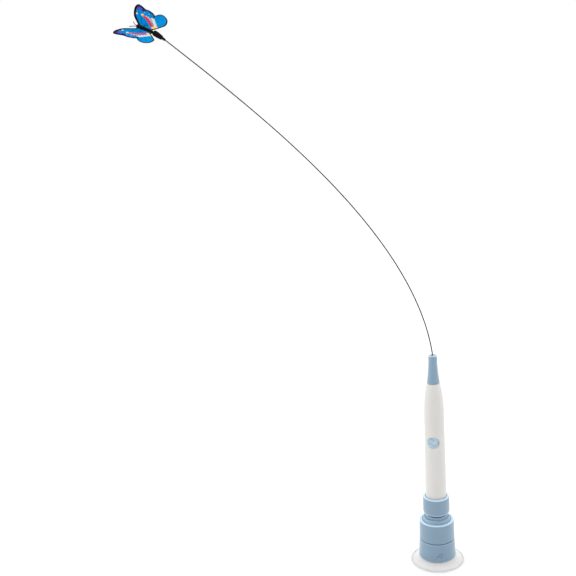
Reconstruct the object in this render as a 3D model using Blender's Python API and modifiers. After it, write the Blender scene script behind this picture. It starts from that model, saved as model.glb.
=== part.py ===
"""Rotating cat toy: a suction base with a twist lock, a ball joint that carries a cup, a battery
handle that lifts out of the cup, and a geared nose that swings a steel wire with a butterfly.

Metres, +Z up. The origin is the middle of the suction pad's underside, on the surface it stands on.
The button faces -Y, and the wire leans out towards -X."""
import math

import bmesh
import bpy
from mathutils import Matrix, Vector

# Clearances shared by the whole toy
GAP = 0.0003
RUNNING_GAP = 0.0002
OVERRUN = 0.002

# Steps round a turned piece
SHELL_STEPS = 32
SMALL_STEPS = 24
PIN_STEPS = 16
OFF_EDGE_TURN = math.radians(5)

# Suction pad, pressed flat on the surface
PAD_RADIUS = 0.035
PAD_EDGE = 0.0011
PAD_BEAD_WIDTH = 0.0016
PAD_BEAD_RISE = 0.0007
PAD_BEAD_SLOPE = 0.0004
PAD_SEAT_MARGIN = 0.0011
PAD_BOSS_RADIUS = 0.0085
PAD_BOSS_RISE = 0.0051
PAD_LAND_RADIUS = 0.011
PAD_LIP_WIDTH = 0.006
PAD_RECESS = 0.0012
PAD_FLOOR = 0.0032
PAD_WEB = 0.0019
# Along the flare from the seat out to the bead: share of its width, share of its height
PAD_FLARE_SHARES = ((0.14, 0.70), (0.36, 0.38), (0.66, 0.14), (1.0, 0.0))

# Stud moulded into the pad, and its cross pin
STUD_HEAD_RADIUS = 0.0066
STUD_HEAD_THICKNESS = 0.0017
STUD_RADIUS = 0.0038
STUD_RISE = 0.0053
PIN_RADIUS = 0.0015
PIN_REACH = 0.0132

# Base ring
BASE_RADIUS = 0.0237
BASE_TAPER = 0.0010
BASE_WALL = 0.0021
BASE_ROUND = 0.0009
SEAM_CHAMFER = 0.0004
SEAM_RISE = 0.0090
BASE_FLOOR = 0.0016
GUIDE_WALL = 0.0022
GUIDE_RISE = 0.0023
LIP_REACH = 0.00085
LIP_HEIGHT = 0.0016
LIP_SLOPE = 0.0002

# Twist lock
LOCK_LIFT = 0.0025
LOCK_TURN = math.radians(60)
RAMP_LEAD = math.radians(12)
RAMP_TAIL = math.radians(15)
RAMP_THICKNESS = 0.0022
RAMP_LIFT = 0.0012
RAMP_GAP = 0.0007
RAMP_STEPS = 12

# Collar with its dish
COLLAR_HEIGHT = 0.0265
COLLAR_TAPER = 0.0005
COLLAR_WALL = 0.0018
COLLAR_RIM = 0.0034
COLLAR_ROUND = 0.0006
SKIRT_WALL = 0.0015
SKIRT_CLEARANCE = 0.0058
SKIRT_BEAD = 0.0008
SKIRT_BEAD_HEIGHT = 0.0015
DISH_STEP = 0.0003
DISH_WALL = 0.0024
# A dome rises inside the rim towards the ball. Angles up from straight out, at its own centre
DOME_RADIUS = 0.0190
DOME_SINK = 0.0109
DOME_ANGLES = (math.radians(16.5), math.radians(31.6))
DOME_POINTS = 5

# Ball joint
BALL_RADIUS = 0.0140
BALL_RISE = 0.0055
BALL_CUT = 0.0035
NECK_RADIUS = 0.0115
LINER_GAP = 0.00025
LINER_WALL = 0.0012
SEAT_WALL = 0.0022
# Angles up from straight down, seen from the ball's centre
MOUTH_ANGLE = math.radians(29.5)
SEAT_ANGLE = math.radians(32)
LINER_ANGLES = (math.radians(33.5), math.radians(86))
SEAT_TOP_ANGLE = math.radians(87)
BOWL_POINTS = 7
WASHER_ANGLE = math.radians(33)
BALL_POINTS = 10
SEAT_POINTS = 4
WASHER_WALL = 0.0014
SPRING_WASHER_RADIUS = 0.0055
SPRING_WASHER_WALL = 0.0008
SPRING_WASHER_RISE = 0.0022
SCREW_RADIUS = 0.0015
SCREW_HOLE = 0.0017
SCREW_DEPTH = 0.0074
SCREW_HEAD_RADIUS = 0.0029
SCREW_HEAD = 0.0017

# Cup that holds the handle
CUP_RISE = 0.0053
CUP_HEIGHT = 0.0239
CUP_BORE_GAP = 0.0007
CUP_WALL = 0.0028
CUP_FLOOR = 0.0054
CUP_CORNER = 0.0030
CUP_CORNER_POINTS = 4
CUP_RIM_ROUND = 0.0005
CUP_GRIP_GAP = 0.00035
CUP_GRIP_HEIGHT = 0.0070
CUP_GRIP_SLOPE = 0.0010

# Handle: a tapered tube that narrows in an ogive to the nose
HANDLE_UPPER_TAPER = 0.00045
HANDLE_LOWER_TAPER = 0.0006
HANDLE_WAIST_RISE = 0.0795
HANDLE_SHOULDER_RISE = 0.0026
HANDLE_OGIVE_LENGTH = 0.0455
HANDLE_NOSE_RADIUS = 0.00825
HANDLE_OGIVE_POWER = 2.5
HANDLE_WALL = 0.0016
HANDLE_NOSE_PLATE = 0.0017
# Heights along the ogive, from its top down to the shoulder
OGIVE_SHARES = (1.0, 0.93, 0.84, 0.72, 0.56, 0.34, 0.0)
OGIVE_INNER_SHARES = (0.0, 0.50, 0.78)

# End cap and charging socket
CAP_HEIGHT = 0.0032
CAP_ROUND = 0.0015
CAP_FLOOR = 0.0018
CAP_PLUG = 0.0053
CAP_PLUG_WALL = 0.0014
SOCKET_WIDTH = 0.0090
SOCKET_DEPTH = 0.0032
SOCKET_LENGTH = 0.0070
SOCKET_SHELL = 0.0003
SOCKET_MOUTH = 0.0055
SOCKET_SINK = 0.0004

# Inner frame: a trough with two bays
FRAME_CLEARANCE = 0.00035
FRAME_WALL = 0.0012
FRAME_BULKHEAD = 0.0016
FRAME_ARC_POINTS = 24
BATTERY_RADIUS = 0.0070
BATTERY_LENGTH = 0.0500
BATTERY_NUB_RADIUS = 0.0022
BATTERY_NUB = 0.0008

# Circuit board and switch
BOARD_WIDTH = 0.0152
BOARD_THICKNESS = 0.0012
BOARD_LIFT = 0.0037
BOARD_MARGIN = 0.0007
SWITCH_WIDTH = 0.0060
SWITCH_THICKNESS = 0.0015
PLUNGER_RADIUS = 0.0016
PLUNGER_LENGTH = 0.00095

# Button
BUTTON_RISE = 0.0975
BUTTON_RADIUS = 0.0073
BUTTON_HOLE_GAP = 0.00025
BUTTON_PROUD = 0.0004
BUTTON_THICKNESS = 0.0018
BUTTON_TRAVEL = 0.0006
BUTTON_SLACK = 0.00019
BUTTON_BAR_WIDTH = 0.0040
BUTTON_BAR_THICKNESS = 0.00085
BUTTON_BAR_CATCH = 0.0013
BUTTON_POST_RADIUS = 0.0026

# Motor
MOTOR_RADIUS = 0.0080
MOTOR_SPACE = 0.0014
MOTOR_LENGTH = 0.0220
MOTOR_CLEARANCE = 0.0020
MOTOR_BORE_DEPTH = 0.0110
MOTOR_BOSS_RADIUS = 0.0030
MOTOR_SHAFT_RADIUS = 0.00075

# Gearbox: four pairs of wheels and pinions, stacked on the handle's axis and on a side axle
PLATE_SET_IN = 0.0004
PLATE_THICKNESS = 0.0014
LAYER_HEIGHT = 0.0016
PLATE_GAP = 0.0004
MODULE = 0.0004
WHEEL_TEETH = 21
PINION_TEETH = 9
TOOTH_PLAY = 0.00012
PRESSURE_ANGLE = math.radians(20)
TIP_SHARE = 0.8
ROOT_SHARE = 1.15
SHIFT_SHARE = 0.2
AXLE_RADIUS = 0.00075
AXLE_BORE = 0.00090
GEAR_SPACE = 0.00016
POST_RADIUS = 0.0012
POST_ANGLE = math.radians(-26.6)
POST_EDGE = 0.00006

# Output shaft and its bush
SHAFT_RADIUS = 0.0015
SHAFT_BORE = 0.00168
SHAFT_GRIP = 0.0122
BUSH_RADIUS = 0.0047
BUSH_FLANGE_RADIUS = 0.0060
BUSH_FLANGE = 0.0014

# Nose cone
NOSE_GAP = 0.0004
NOSE_LENGTH = 0.0364
NOSE_BOTTOM_RADIUS = 0.0081
NOSE_TOP_RADIUS = 0.0054
NOSE_FLARE_POWER = 2.0
NOSE_ROUND = 0.0005
NOSE_RECESS = 0.0016
NOSE_RECESS_RADIUS = 0.0021
NOSE_WEB = 0.0045
NOSE_FLARE_SHARES = (0.0, 0.3, 0.55, 0.75, 0.9)

# Wire and its ferrule
WIRE_RADIUS = 0.0006
WIRE_CLEARANCE = 0.00025
FERRULE_RADIUS = 0.0017
FERRULE_LENGTH = 0.0016
WIRE_REACH = 0.3175
WIRE_CLIMB = 0.3969
WIRE_START_LEAN = math.radians(6.7)
WIRE_START_PULL = 0.1563
WIRE_END_RISE = math.radians(39.0)
WIRE_END_PULL = 0.1569
WIRE_POINTS = 32

# Rubber sleeve and bead between the wire and the butterfly
BEAD_RISE = math.radians(34.3)
SLEEVE_LENGTH = 0.0045
SLEEVE_TIP_RADIUS = 0.00115
SLEEVE_RADIUS = 0.0018
BEAD_LENGTH = 0.0122
BEAD_RADIUS = 0.0035
BEAD_NECK_RADIUS = 0.0026
BEAD_SOLID_END = 0.0025
# Along the bead from the wire's end: share of its length, share of its swell
BEAD_SHARES = ((0.0, 0.0), (0.22, 0.50), (0.52, 0.94), (0.80, 1.0), (0.95, 0.78), (1.0, 0.22))

# Butterfly
FLY_HEADING = math.radians(-7.3)
FLY_RISE = math.radians(22.4)
FLY_ROLL = math.radians(22.3)
FLY_DIHEDRAL = math.radians(9.7)
# The body points a little more upwards than the wings do
BODY_TILT = math.radians(2.8)
TAIL_LENGTH = 0.0108
HEAD_LENGTH = 0.0116
THORAX_RADIUS = 0.0031
# Along the body from the tail: share of its whole length, share of the thorax's radius
BODY_SHARES = (
    (0.0, 0.50), (0.06, 0.70), (0.18, 0.84), (0.32, 0.86), (0.42, 0.82), (0.50, 0.90), (0.62, 1.0),
    (0.74, 0.97), (0.82, 0.80), (0.88, 0.86), (0.95, 0.80), (0.985, 0.45))
HEAD_CENTRE_SHARE = 0.91
WING_THICKNESS = 0.0005
WING_ROOT_GAP = 0.00014
WING_DROP = 0.0009
WING_SPAN = 0.0420
WING_CHORD = 0.0463
WING_RESOLUTION = 3
# Round the wing: share of the chord ahead of the body's middle, share of the way from root to tip
WING_SHARES = (
    (0.19, 0), (0.33, 0.183), (0.48, 0.409), (0.568, 0.699), (0.583, 0.892), (0.545, 0.995),
    (0.44, 0.973), (0.305, 0.887), (0.19, 0.88), (0.05, 0.806), (-0.01, 0.747), (-0.045, 0.785),
    (-0.12, 0.882), (-0.23, 0.887), (-0.35, 0.774), (-0.41, 0.613), (-0.415, 0.43), (-0.34, 0.28),
    (-0.26, 0.151), (-0.16, 0))
ANTENNA_RADIUS = 0.0004
ANTENNA_START = 0.0029
ANTENNA_LENGTH = 0.0078
ANTENNA_SPREAD = math.radians(24)
ANTENNA_LIFT = math.radians(2)
ANTENNA_BEND = math.radians(16)
ANTENNA_POINTS = 5

# What follows from the sizes above. The base: heights up from the surface, radii in from the ring
PAD_POCKET_TOP = PAD_FLOOR + GAP + STUD_HEAD_THICKNESS + GAP
PAD_SEAT = PAD_POCKET_TOP + PAD_WEB
BASE_BOTTOM = PAD_SEAT + GAP
PAD_BOSS_TOP = PAD_SEAT + PAD_BOSS_RISE
BASE_DECK = PAD_BOSS_TOP + GAP + GAP + BASE_FLOOR
SKIRT_BOTTOM = BASE_DECK + SKIRT_CLEARANCE
LIP_LEVEL = SKIRT_BOTTOM + SKIRT_BEAD_HEIGHT + GAP + LIP_SLOPE
SEAM_HEIGHT = LIP_LEVEL + LIP_HEIGHT + SEAM_RISE
SEAM_RADIUS = BASE_RADIUS - BASE_TAPER
COLLAR_RADIUS = SEAM_RADIUS - COLLAR_TAPER
BASE_BORE = SEAM_RADIUS - BASE_WALL
LIP_RADIUS = BASE_BORE - LIP_REACH
SKIRT_RADIUS = LIP_RADIUS - GAP
GUIDE_BORE = STUD_RADIUS + GAP
GUIDE_RADIUS = GUIDE_BORE + GUIDE_WALL
LOCK_PITCH = LOCK_LIFT / LOCK_TURN
RAMP_TOP = SKIRT_BOTTOM + RAMP_LIFT + RAMP_THICKNESS
PIN_HEIGHT = RAMP_TOP + LOCK_PITCH * RAMP_LEAD + GAP + PIN_RADIUS
GUIDE_TOP = PIN_HEIGHT + PIN_RADIUS + GUIDE_RISE
COLLAR_TOP = SEAM_HEIGHT + GAP + COLLAR_HEIGHT

# The ball joint and the cup
LINER_INNER = BALL_RADIUS + LINER_GAP
SEAT_RADIUS = LINER_INNER + LINER_WALL + LINER_GAP
DISH_TOP = COLLAR_TOP - COLLAR_ROUND - DISH_STEP
BALL_HEIGHT = DISH_TOP + BALL_RISE
CUP_BOTTOM = BALL_HEIGHT + CUP_RISE
CUP_DECK = CUP_BOTTOM + CUP_FLOOR
CUP_TOP = CUP_BOTTOM + CUP_HEIGHT

# The handle's heights, from the cup's deck up through the button, the motor and the gears
FOOT = CUP_DECK + GAP
CAP_TOP = FOOT + CAP_HEIGHT
FRAME_BOTTOM = CAP_TOP + CAP_PLUG + GAP
BUTTON_HEIGHT = FOOT + BUTTON_RISE
BOARD_TOP = BUTTON_HEIGHT + SWITCH_WIDTH / 2 + BOARD_MARGIN
MOTOR_BOTTOM = BOARD_TOP + MOTOR_CLEARANCE + PLATE_THICKNESS
GEARBOX_BOTTOM = MOTOR_BOTTOM + MOTOR_LENGTH + GAP
HANDLE_WAIST = FOOT + HANDLE_WAIST_RISE
HANDLE_SHOULDER = GEARBOX_BOTTOM + HANDLE_SHOULDER_RISE
HANDLE_TOP = HANDLE_SHOULDER + HANDLE_OGIVE_LENGTH
NOSE_BOTTOM = HANDLE_TOP + NOSE_GAP
NOSE_TOP = NOSE_BOTTOM + NOSE_LENGTH
SHAFT_TOP = NOSE_BOTTOM + SHAFT_GRIP
WIRE_FOOT = SHAFT_TOP + GAP + NOSE_WEB
WIRE_BORE = WIRE_RADIUS + WIRE_CLEARANCE
WIRE_END = Vector((-WIRE_REACH, 0.0, NOSE_TOP + WIRE_CLIMB))

# The handle's radii. From the button inwards come its bar, its travel, the switch, the board and
# the cell, and the frame is as wide as these, the motor or the gears need
BUTTON_SHARE = (BUTTON_HEIGHT - HANDLE_WAIST) / (HANDLE_SHOULDER - HANDLE_WAIST)
BUTTON_FLARE = HANDLE_UPPER_TAPER * (1 - BUTTON_SHARE)
SWITCH_STACK = SWITCH_THICKNESS + PLUNGER_LENGTH + GAP
BOARD_DEPTH = (BUTTON_TRAVEL - GAP / 2 + BUTTON_BAR_THICKNESS + BUTTON_TRAVEL + BUTTON_SLACK
               + SWITCH_STACK + BOARD_THICKNESS)
CELL_NEED = (2 * BATTERY_RADIUS + BOARD_DEPTH + GAP + GAP - FRAME_WALL - FRAME_CLEARANCE
             - BUTTON_FLARE) / 2
GEAR_DISTANCE = MODULE * (WHEEL_TEETH + PINION_TEETH) / 2
GEAR_REACH = GEAR_DISTANCE + MODULE * (WHEEL_TEETH / 2 + TIP_SHARE - SHIFT_SHARE)
BAY_RADIUS = max(CELL_NEED, MOTOR_RADIUS + MOTOR_SPACE, GEAR_REACH + GEAR_SPACE - FRAME_WALL)
FRAME_RADIUS = BAY_RADIUS + FRAME_WALL
PLATE_RADIUS = FRAME_RADIUS - PLATE_SET_IN
HANDLE_SHOULDER_RADIUS = FRAME_RADIUS + FRAME_CLEARANCE + HANDLE_WALL
HANDLE_WAIST_RADIUS = HANDLE_SHOULDER_RADIUS + HANDLE_UPPER_TAPER
HANDLE_FOOT_RADIUS = HANDLE_WAIST_RADIUS + HANDLE_LOWER_TAPER
CUP_BORE = HANDLE_FOOT_RADIUS + CUP_BORE_GAP
CUP_RADIUS = CUP_BORE + CUP_WALL
BUTTON_WALL = FRAME_RADIUS + FRAME_CLEARANCE + BUTTON_FLARE
BOARD_BACK = BOARD_DEPTH - BUTTON_WALL
BOARD_FRONT = BOARD_BACK - BOARD_THICKNESS
FRAME_FRONT = BOARD_BACK + GAP


def start_scene():
    """Remove every object, and make the collections for the pieces and for the cutters."""
    for old in list(bpy.data.objects):
        bpy.data.objects.remove(old, do_unlink=True)
    groups = []
    for title in ("rotating_cat_toy", "cutters"):
        group = bpy.data.collections.new(title)
        bpy.context.scene.collection.children.link(group)
        groups.append(group)
    return groups


PIECES, CUTTERS = start_scene()


def skin(name, colour, roughness, metallic=0.0):
    """A plain Principled material."""
    paint = bpy.data.materials.new(name)
    paint.use_nodes = True
    shader = paint.node_tree.nodes["Principled BSDF"]
    shader.inputs["Base Color"].default_value = (*colour, 1.0)
    shader.inputs["Roughness"].default_value = roughness
    shader.inputs["Metallic"].default_value = metallic
    paint.diffuse_color = (*colour, 1.0)
    return paint


BLUE = skin("blue_plastic", (0.27, 0.40, 0.50), 0.45)
WHITE = skin("white_plastic", (0.72, 0.71, 0.68), 0.5)
BUTTON_BLUE = skin("button_blue", (0.42, 0.56, 0.67), 0.5)
CLEAR = skin("clear_vinyl", (0.80, 0.80, 0.78), 0.3)
BLACK = skin("black_rubber", (0.012, 0.011, 0.012), 0.6)
WING_BLUE = skin("wing_film", (0.01, 0.25, 0.62), 0.4)
NYLON = skin("nylon", (0.78, 0.77, 0.72), 0.5)
STEEL = skin("steel", (0.55, 0.55, 0.56), 0.3, 1.0)
BRASS = skin("brass", (0.71, 0.52, 0.24), 0.3, 1.0)
BOARD_GREEN = skin("board", (0.03, 0.22, 0.10), 0.5)
CELL = skin("battery_wrap", (0.10, 0.30, 0.45), 0.4)


def place(name, data, paint, group=None):
    """Link a new object; one without a paint is a cutter or a guide."""
    piece = bpy.data.objects.new(name, data)
    (group or (PIECES if paint else CUTTERS)).objects.link(piece)
    if paint:
        data.materials.append(paint)
    else:
        piece.hide_render = True
        piece.display_type = "WIRE"
    return piece


def turned(name, profile, paint, steps=SHELL_STEPS):
    """Turn a profile of (radius, height) points about Z. It runs down its outer side, and it is
    closed into a ring unless it starts and ends on the axis."""
    count = len(profile)
    edges = [(k, k + 1) for k in range(count - 1)]
    if profile[0][0] > 0 and profile[-1][0] > 0:
        edges.append((count - 1, 0))
    mesh = bpy.data.meshes.new(name)
    mesh.from_pydata([(radius, 0.0, height) for radius, height in profile], edges, [])
    piece = place(name, mesh, paint)
    screw = piece.modifiers.new("turn", "SCREW")
    screw.steps = steps
    screw.render_steps = steps
    screw.use_merge_vertices = True
    screw.merge_threshold = 0.000002
    screw.use_smooth_shade = True
    return piece


def arc(centre, radius, start, end, points):
    """Points on a round corner, from one angle to another; angle 0 points outwards."""
    steps = [start + (end - start) * k / (points - 1) for k in range(points)]
    return [(centre[0] + radius * math.cos(a), centre[1] + radius * math.sin(a)) for a in steps]


def bowl(radius, start, end, points=SEAT_POINTS):
    """Points on a sphere round the ball's centre, by their angle from straight down."""
    steps = [start + (end - start) * k / (points - 1) for k in range(points)]
    return [(radius * math.sin(a), BALL_HEIGHT - radius * math.cos(a)) for a in steps]


def rod(name, radius, bottom, top, paint, x=0.0, y=0.0, steps=PIN_STEPS):
    """A round bar along Z."""
    mesh = bpy.data.meshes.new(name)
    shape = bmesh.new()
    bmesh.ops.create_cone(shape, cap_ends=True, segments=steps, radius1=radius, radius2=radius,
                          depth=top - bottom)
    shape.to_mesh(mesh)
    shape.free()
    piece = place(name, mesh, paint)
    piece.location = (x, y, (bottom + top) / 2)
    return piece


def block(name, low, high, paint):
    """A box between two corners."""
    size = Vector(high) - Vector(low)
    mesh = bpy.data.meshes.new(name)
    shape = bmesh.new()
    bmesh.ops.create_cube(shape, size=1.0)
    bmesh.ops.scale(shape, vec=size, verts=shape.verts)
    shape.to_mesh(mesh)
    shape.free()
    piece = place(name, mesh, paint)
    piece.location = (Vector(low) + Vector(high)) / 2
    return piece


def lay_along(piece, axis, height):
    """Turn a bar made along Z so that it lies along X or Y, centred at a height. A part of a turn
    about itself keeps its corners off the edges of what it meets."""
    turn = Matrix.Rotation(math.pi / 2, 4, "Y" if axis == "X" else "X")
    turn = turn @ Matrix.Rotation(OFF_EDGE_TURN, 4, "Z")
    piece.matrix_world = Matrix.Translation((0.0, 0.0, height)) @ turn
    return piece


def boolean(piece, tool, operation):
    """Cut a tool out of a piece, or join or keep what they share."""
    step = piece.modifiers.new(tool.name, "BOOLEAN")
    step.operation = operation
    step.object = tool
    step.solver = "EXACT"


def as_mesh(piece, name):
    """Make a curve object a mesh object with its caps welded."""
    view = bpy.context.evaluated_depsgraph_get()
    mesh = bpy.data.meshes.new_from_object(piece.evaluated_get(view))
    shape = bmesh.new()
    shape.from_mesh(mesh)
    bmesh.ops.remove_doubles(shape, verts=shape.verts, dist=0.000002)
    bmesh.ops.recalc_face_normals(shape, faces=shape.faces)
    shape.to_mesh(mesh)
    shape.free()
    paint = piece.data.materials[0] if piece.data.materials else None
    matrix = piece.matrix_world.copy()
    bpy.data.objects.remove(piece, do_unlink=True)
    solid = place(name, mesh, None if paint is None else paint)
    if paint and len(mesh.materials) > 1:
        mesh.materials.pop()
    solid.matrix_world = matrix
    return solid


def flat_plate(name, outline, bottom, top, paint):
    """A flat outline of (x, y) points, filled and thickened between two heights, as a mesh."""
    curve = bpy.data.curves.new(name + "_outline", "CURVE")
    curve.dimensions = "2D"
    curve.fill_mode = "BOTH"
    curve.extrude = (top - bottom) / 2
    curve.resolution_u = 1
    curve.render_resolution_u = 0
    spline = curve.splines.new("POLY")
    spline.points.add(len(outline) - 1)
    for point, (x, y) in zip(spline.points, outline):
        point.co = (x, y, 0.0, 1.0)
    spline.use_cyclic_u = True
    guide = place(name + "_outline", curve, paint)
    guide.location.z = (bottom + top) / 2
    bpy.context.view_layer.update()
    return as_mesh(guide, name)


def make_pad():
    """The clear suction pad: a seat for the base ring, a flare out to a beaded rim, a flat land
    and a lip underneath, and a pocket that holds the stud's head."""
    seat_radius = BASE_RADIUS - PAD_SEAT_MARGIN
    bead_inner = PAD_RADIUS - PAD_BEAD_WIDTH
    flare_foot = bead_inner - PAD_BEAD_SLOPE
    pocket = STUD_HEAD_RADIUS + GAP
    neck = STUD_RADIUS + GAP
    flare = [(seat_radius + (flare_foot - seat_radius) * out, PAD_EDGE + (PAD_SEAT - PAD_EDGE) * up)
             for out, up in PAD_FLARE_SHARES]
    profile = [
        (0.0, PAD_FLOOR), (pocket, PAD_FLOOR), (pocket, PAD_POCKET_TOP), (neck, PAD_POCKET_TOP),
        (neck, PAD_BOSS_TOP), (PAD_BOSS_RADIUS, PAD_BOSS_TOP), (PAD_BOSS_RADIUS, PAD_SEAT),
        (seat_radius, PAD_SEAT), *flare,
        (bead_inner, PAD_EDGE + PAD_BEAD_RISE),
        (PAD_RADIUS - PAD_BEAD_SLOPE, PAD_EDGE + PAD_BEAD_RISE),
        (PAD_RADIUS, PAD_EDGE), (PAD_RADIUS, 0.0),
        (PAD_RADIUS - PAD_LIP_WIDTH, 0.0),
        (PAD_RADIUS - PAD_LIP_WIDTH - PAD_RECESS, PAD_RECESS),
        (PAD_LAND_RADIUS + PAD_RECESS, PAD_RECESS), (PAD_LAND_RADIUS, 0.0), (0.0, 0.0)]
    turned("suction_cup", profile, CLEAR)


def make_stud():
    """The stud, whose head sits in the pad, and the pin across it that rides on the ramps."""
    head_bottom = PAD_FLOOR + GAP
    head_top = head_bottom + STUD_HEAD_THICKNESS
    top = PIN_HEIGHT + STUD_RISE
    stud = turned("suction_stud", [
        (0.0, top), (STUD_RADIUS, top), (STUD_RADIUS, head_top),
        (STUD_HEAD_RADIUS, head_top), (STUD_HEAD_RADIUS, head_bottom), (0.0, head_bottom)],
        NYLON, SMALL_STEPS)
    reach = STUD_RADIUS + OVERRUN
    hole = rod("stud_cross_hole", PIN_RADIUS + RUNNING_GAP, -reach, reach, None)
    boolean(stud, lay_along(hole, "X", PIN_HEIGHT), "DIFFERENCE")
    pin = rod("cross_pin", PIN_RADIUS, -PIN_REACH, PIN_REACH, STEEL)
    lay_along(pin, "X", PIN_HEIGHT)


def make_base_ring():
    """The base ring: it presses on the pad, guides the stud in a slotted tube, and holds the
    collar's skirt under a lip."""
    floor = BASE_DECK - BASE_FLOOR
    foot_inner = BASE_RADIUS - BASE_WALL
    foot = arc((BASE_RADIUS - BASE_ROUND, BASE_BOTTOM + BASE_ROUND), BASE_ROUND,
               0.0, -math.pi / 2, CUP_CORNER_POINTS)
    ring = turned("base_ring", [
        (SEAM_RADIUS - SEAM_CHAMFER, SEAM_HEIGHT), (SEAM_RADIUS, SEAM_HEIGHT - SEAM_CHAMFER), *foot,
        (foot_inner, BASE_BOTTOM), (BASE_BORE, floor), (GUIDE_BORE, floor), (GUIDE_BORE, GUIDE_TOP),
        (GUIDE_RADIUS, GUIDE_TOP), (GUIDE_RADIUS, BASE_DECK), (BASE_BORE, BASE_DECK),
        (BASE_BORE, LIP_LEVEL - LIP_SLOPE), (LIP_RADIUS, LIP_LEVEL),
        (LIP_RADIUS, LIP_LEVEL + LIP_HEIGHT), (BASE_BORE, LIP_LEVEL + LIP_HEIGHT + LIP_SLOPE),
        (BASE_BORE, SEAM_HEIGHT)], BLUE)
    half = PIN_RADIUS + RUNNING_GAP
    slot_bottom = PIN_HEIGHT - PIN_RADIUS - GAP
    reach = GUIDE_RADIUS + OVERRUN
    slot = block("guide_slot", (-reach, -half, slot_bottom), (reach, half, GUIDE_TOP + OVERRUN), None)
    boolean(ring, slot, "DIFFERENCE")


def ramp(name, start):
    """One helical rib under the cross pin. Turning the collar brings a higher part of it under
    the pin, so the pin and the stud rise."""
    sweep = LOCK_TURN + RAMP_LEAD + RAMP_TAIL
    inner = GUIDE_RADIUS + RAMP_GAP
    outer = SKIRT_RADIUS - SKIRT_WALL / 2
    mesh = bpy.data.meshes.new(name)
    shape = bmesh.new()
    corners = [(inner, RAMP_TOP), (outer, RAMP_TOP), (outer, RAMP_TOP - RAMP_THICKNESS),
               (inner, RAMP_TOP - RAMP_THICKNESS)]
    verts = [shape.verts.new((radius, 0.0, height)) for radius, height in corners]
    shape.faces.new(verts)
    bmesh.ops.rotate(shape, verts=shape.verts, matrix=Matrix.Rotation(start + RAMP_LEAD, 3, "Z"))
    bmesh.ops.spin(shape, geom=shape.verts[:] + shape.edges[:] + shape.faces[:], cent=(0, 0, 0),
                   axis=(0, 0, 1), dvec=(0, 0, LOCK_PITCH * sweep / RAMP_STEPS), angle=-sweep,
                   steps=RAMP_STEPS)
    bmesh.ops.recalc_face_normals(shape, faces=shape.faces)
    shape.to_mesh(mesh)
    shape.free()
    return place(name, mesh, None)


def make_collar():
    """The lock collar: a skirt that snaps into the base ring, two ramps, the bowl-shaped seat of
    the ball, and the dome and rim round it."""
    skirt_bore = SKIRT_RADIUS - SKIRT_WALL
    bead = SKIRT_RADIUS + SKIRT_BEAD
    bead_top = SKIRT_BOTTOM + SKIRT_BEAD_HEIGHT
    bottom = SEAM_HEIGHT + GAP
    bore = COLLAR_RADIUS - COLLAR_WALL
    under = SEAT_RADIUS + SEAT_WALL
    rim_inner = COLLAR_RADIUS - COLLAR_RIM
    dish_outer = (rim_inner - COLLAR_ROUND, DISH_TOP)
    dome_low, dome_high = DOME_ANGLES
    dome = arc((0.0, BALL_HEIGHT - DOME_SINK), DOME_RADIUS, dome_high, dome_low, DOME_POINTS)
    ceiling = DISH_TOP - DISH_WALL
    under_angle = math.acos((BALL_HEIGHT - ceiling) / under)
    collar = turned("lock_collar", [
        (COLLAR_RADIUS - COLLAR_ROUND, COLLAR_TOP), (COLLAR_RADIUS, COLLAR_TOP - COLLAR_ROUND),
        (SEAM_RADIUS, bottom + SEAM_CHAMFER), (SEAM_RADIUS - SEAM_CHAMFER, bottom),
        (SKIRT_RADIUS, bottom), (SKIRT_RADIUS, bead_top + SKIRT_BEAD / 2), (bead, bead_top),
        (bead, SKIRT_BOTTOM + SEAM_CHAMFER), (bead - SEAM_CHAMFER, SKIRT_BOTTOM),
        (skirt_bore, SKIRT_BOTTOM), (skirt_bore, bottom + SKIRT_WALL),
        (bore, bottom + SKIRT_WALL + COLLAR_WALL), (bore, ceiling),
        *bowl(under, under_angle, MOUTH_ANGLE), *bowl(BALL_RADIUS + GAP, MOUTH_ANGLE, SEAT_ANGLE, 2),
        *bowl(SEAT_RADIUS, SEAT_ANGLE, SEAT_TOP_ANGLE, BOWL_POINTS),
        *dome, dish_outer, (rim_inner, COLLAR_TOP - COLLAR_ROUND),
        (rim_inner + COLLAR_ROUND, COLLAR_TOP)], BLUE)
    for side in range(2):
        boolean(collar, ramp("ramp_%d" % (side + 1), side * math.pi), "UNION")


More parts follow.
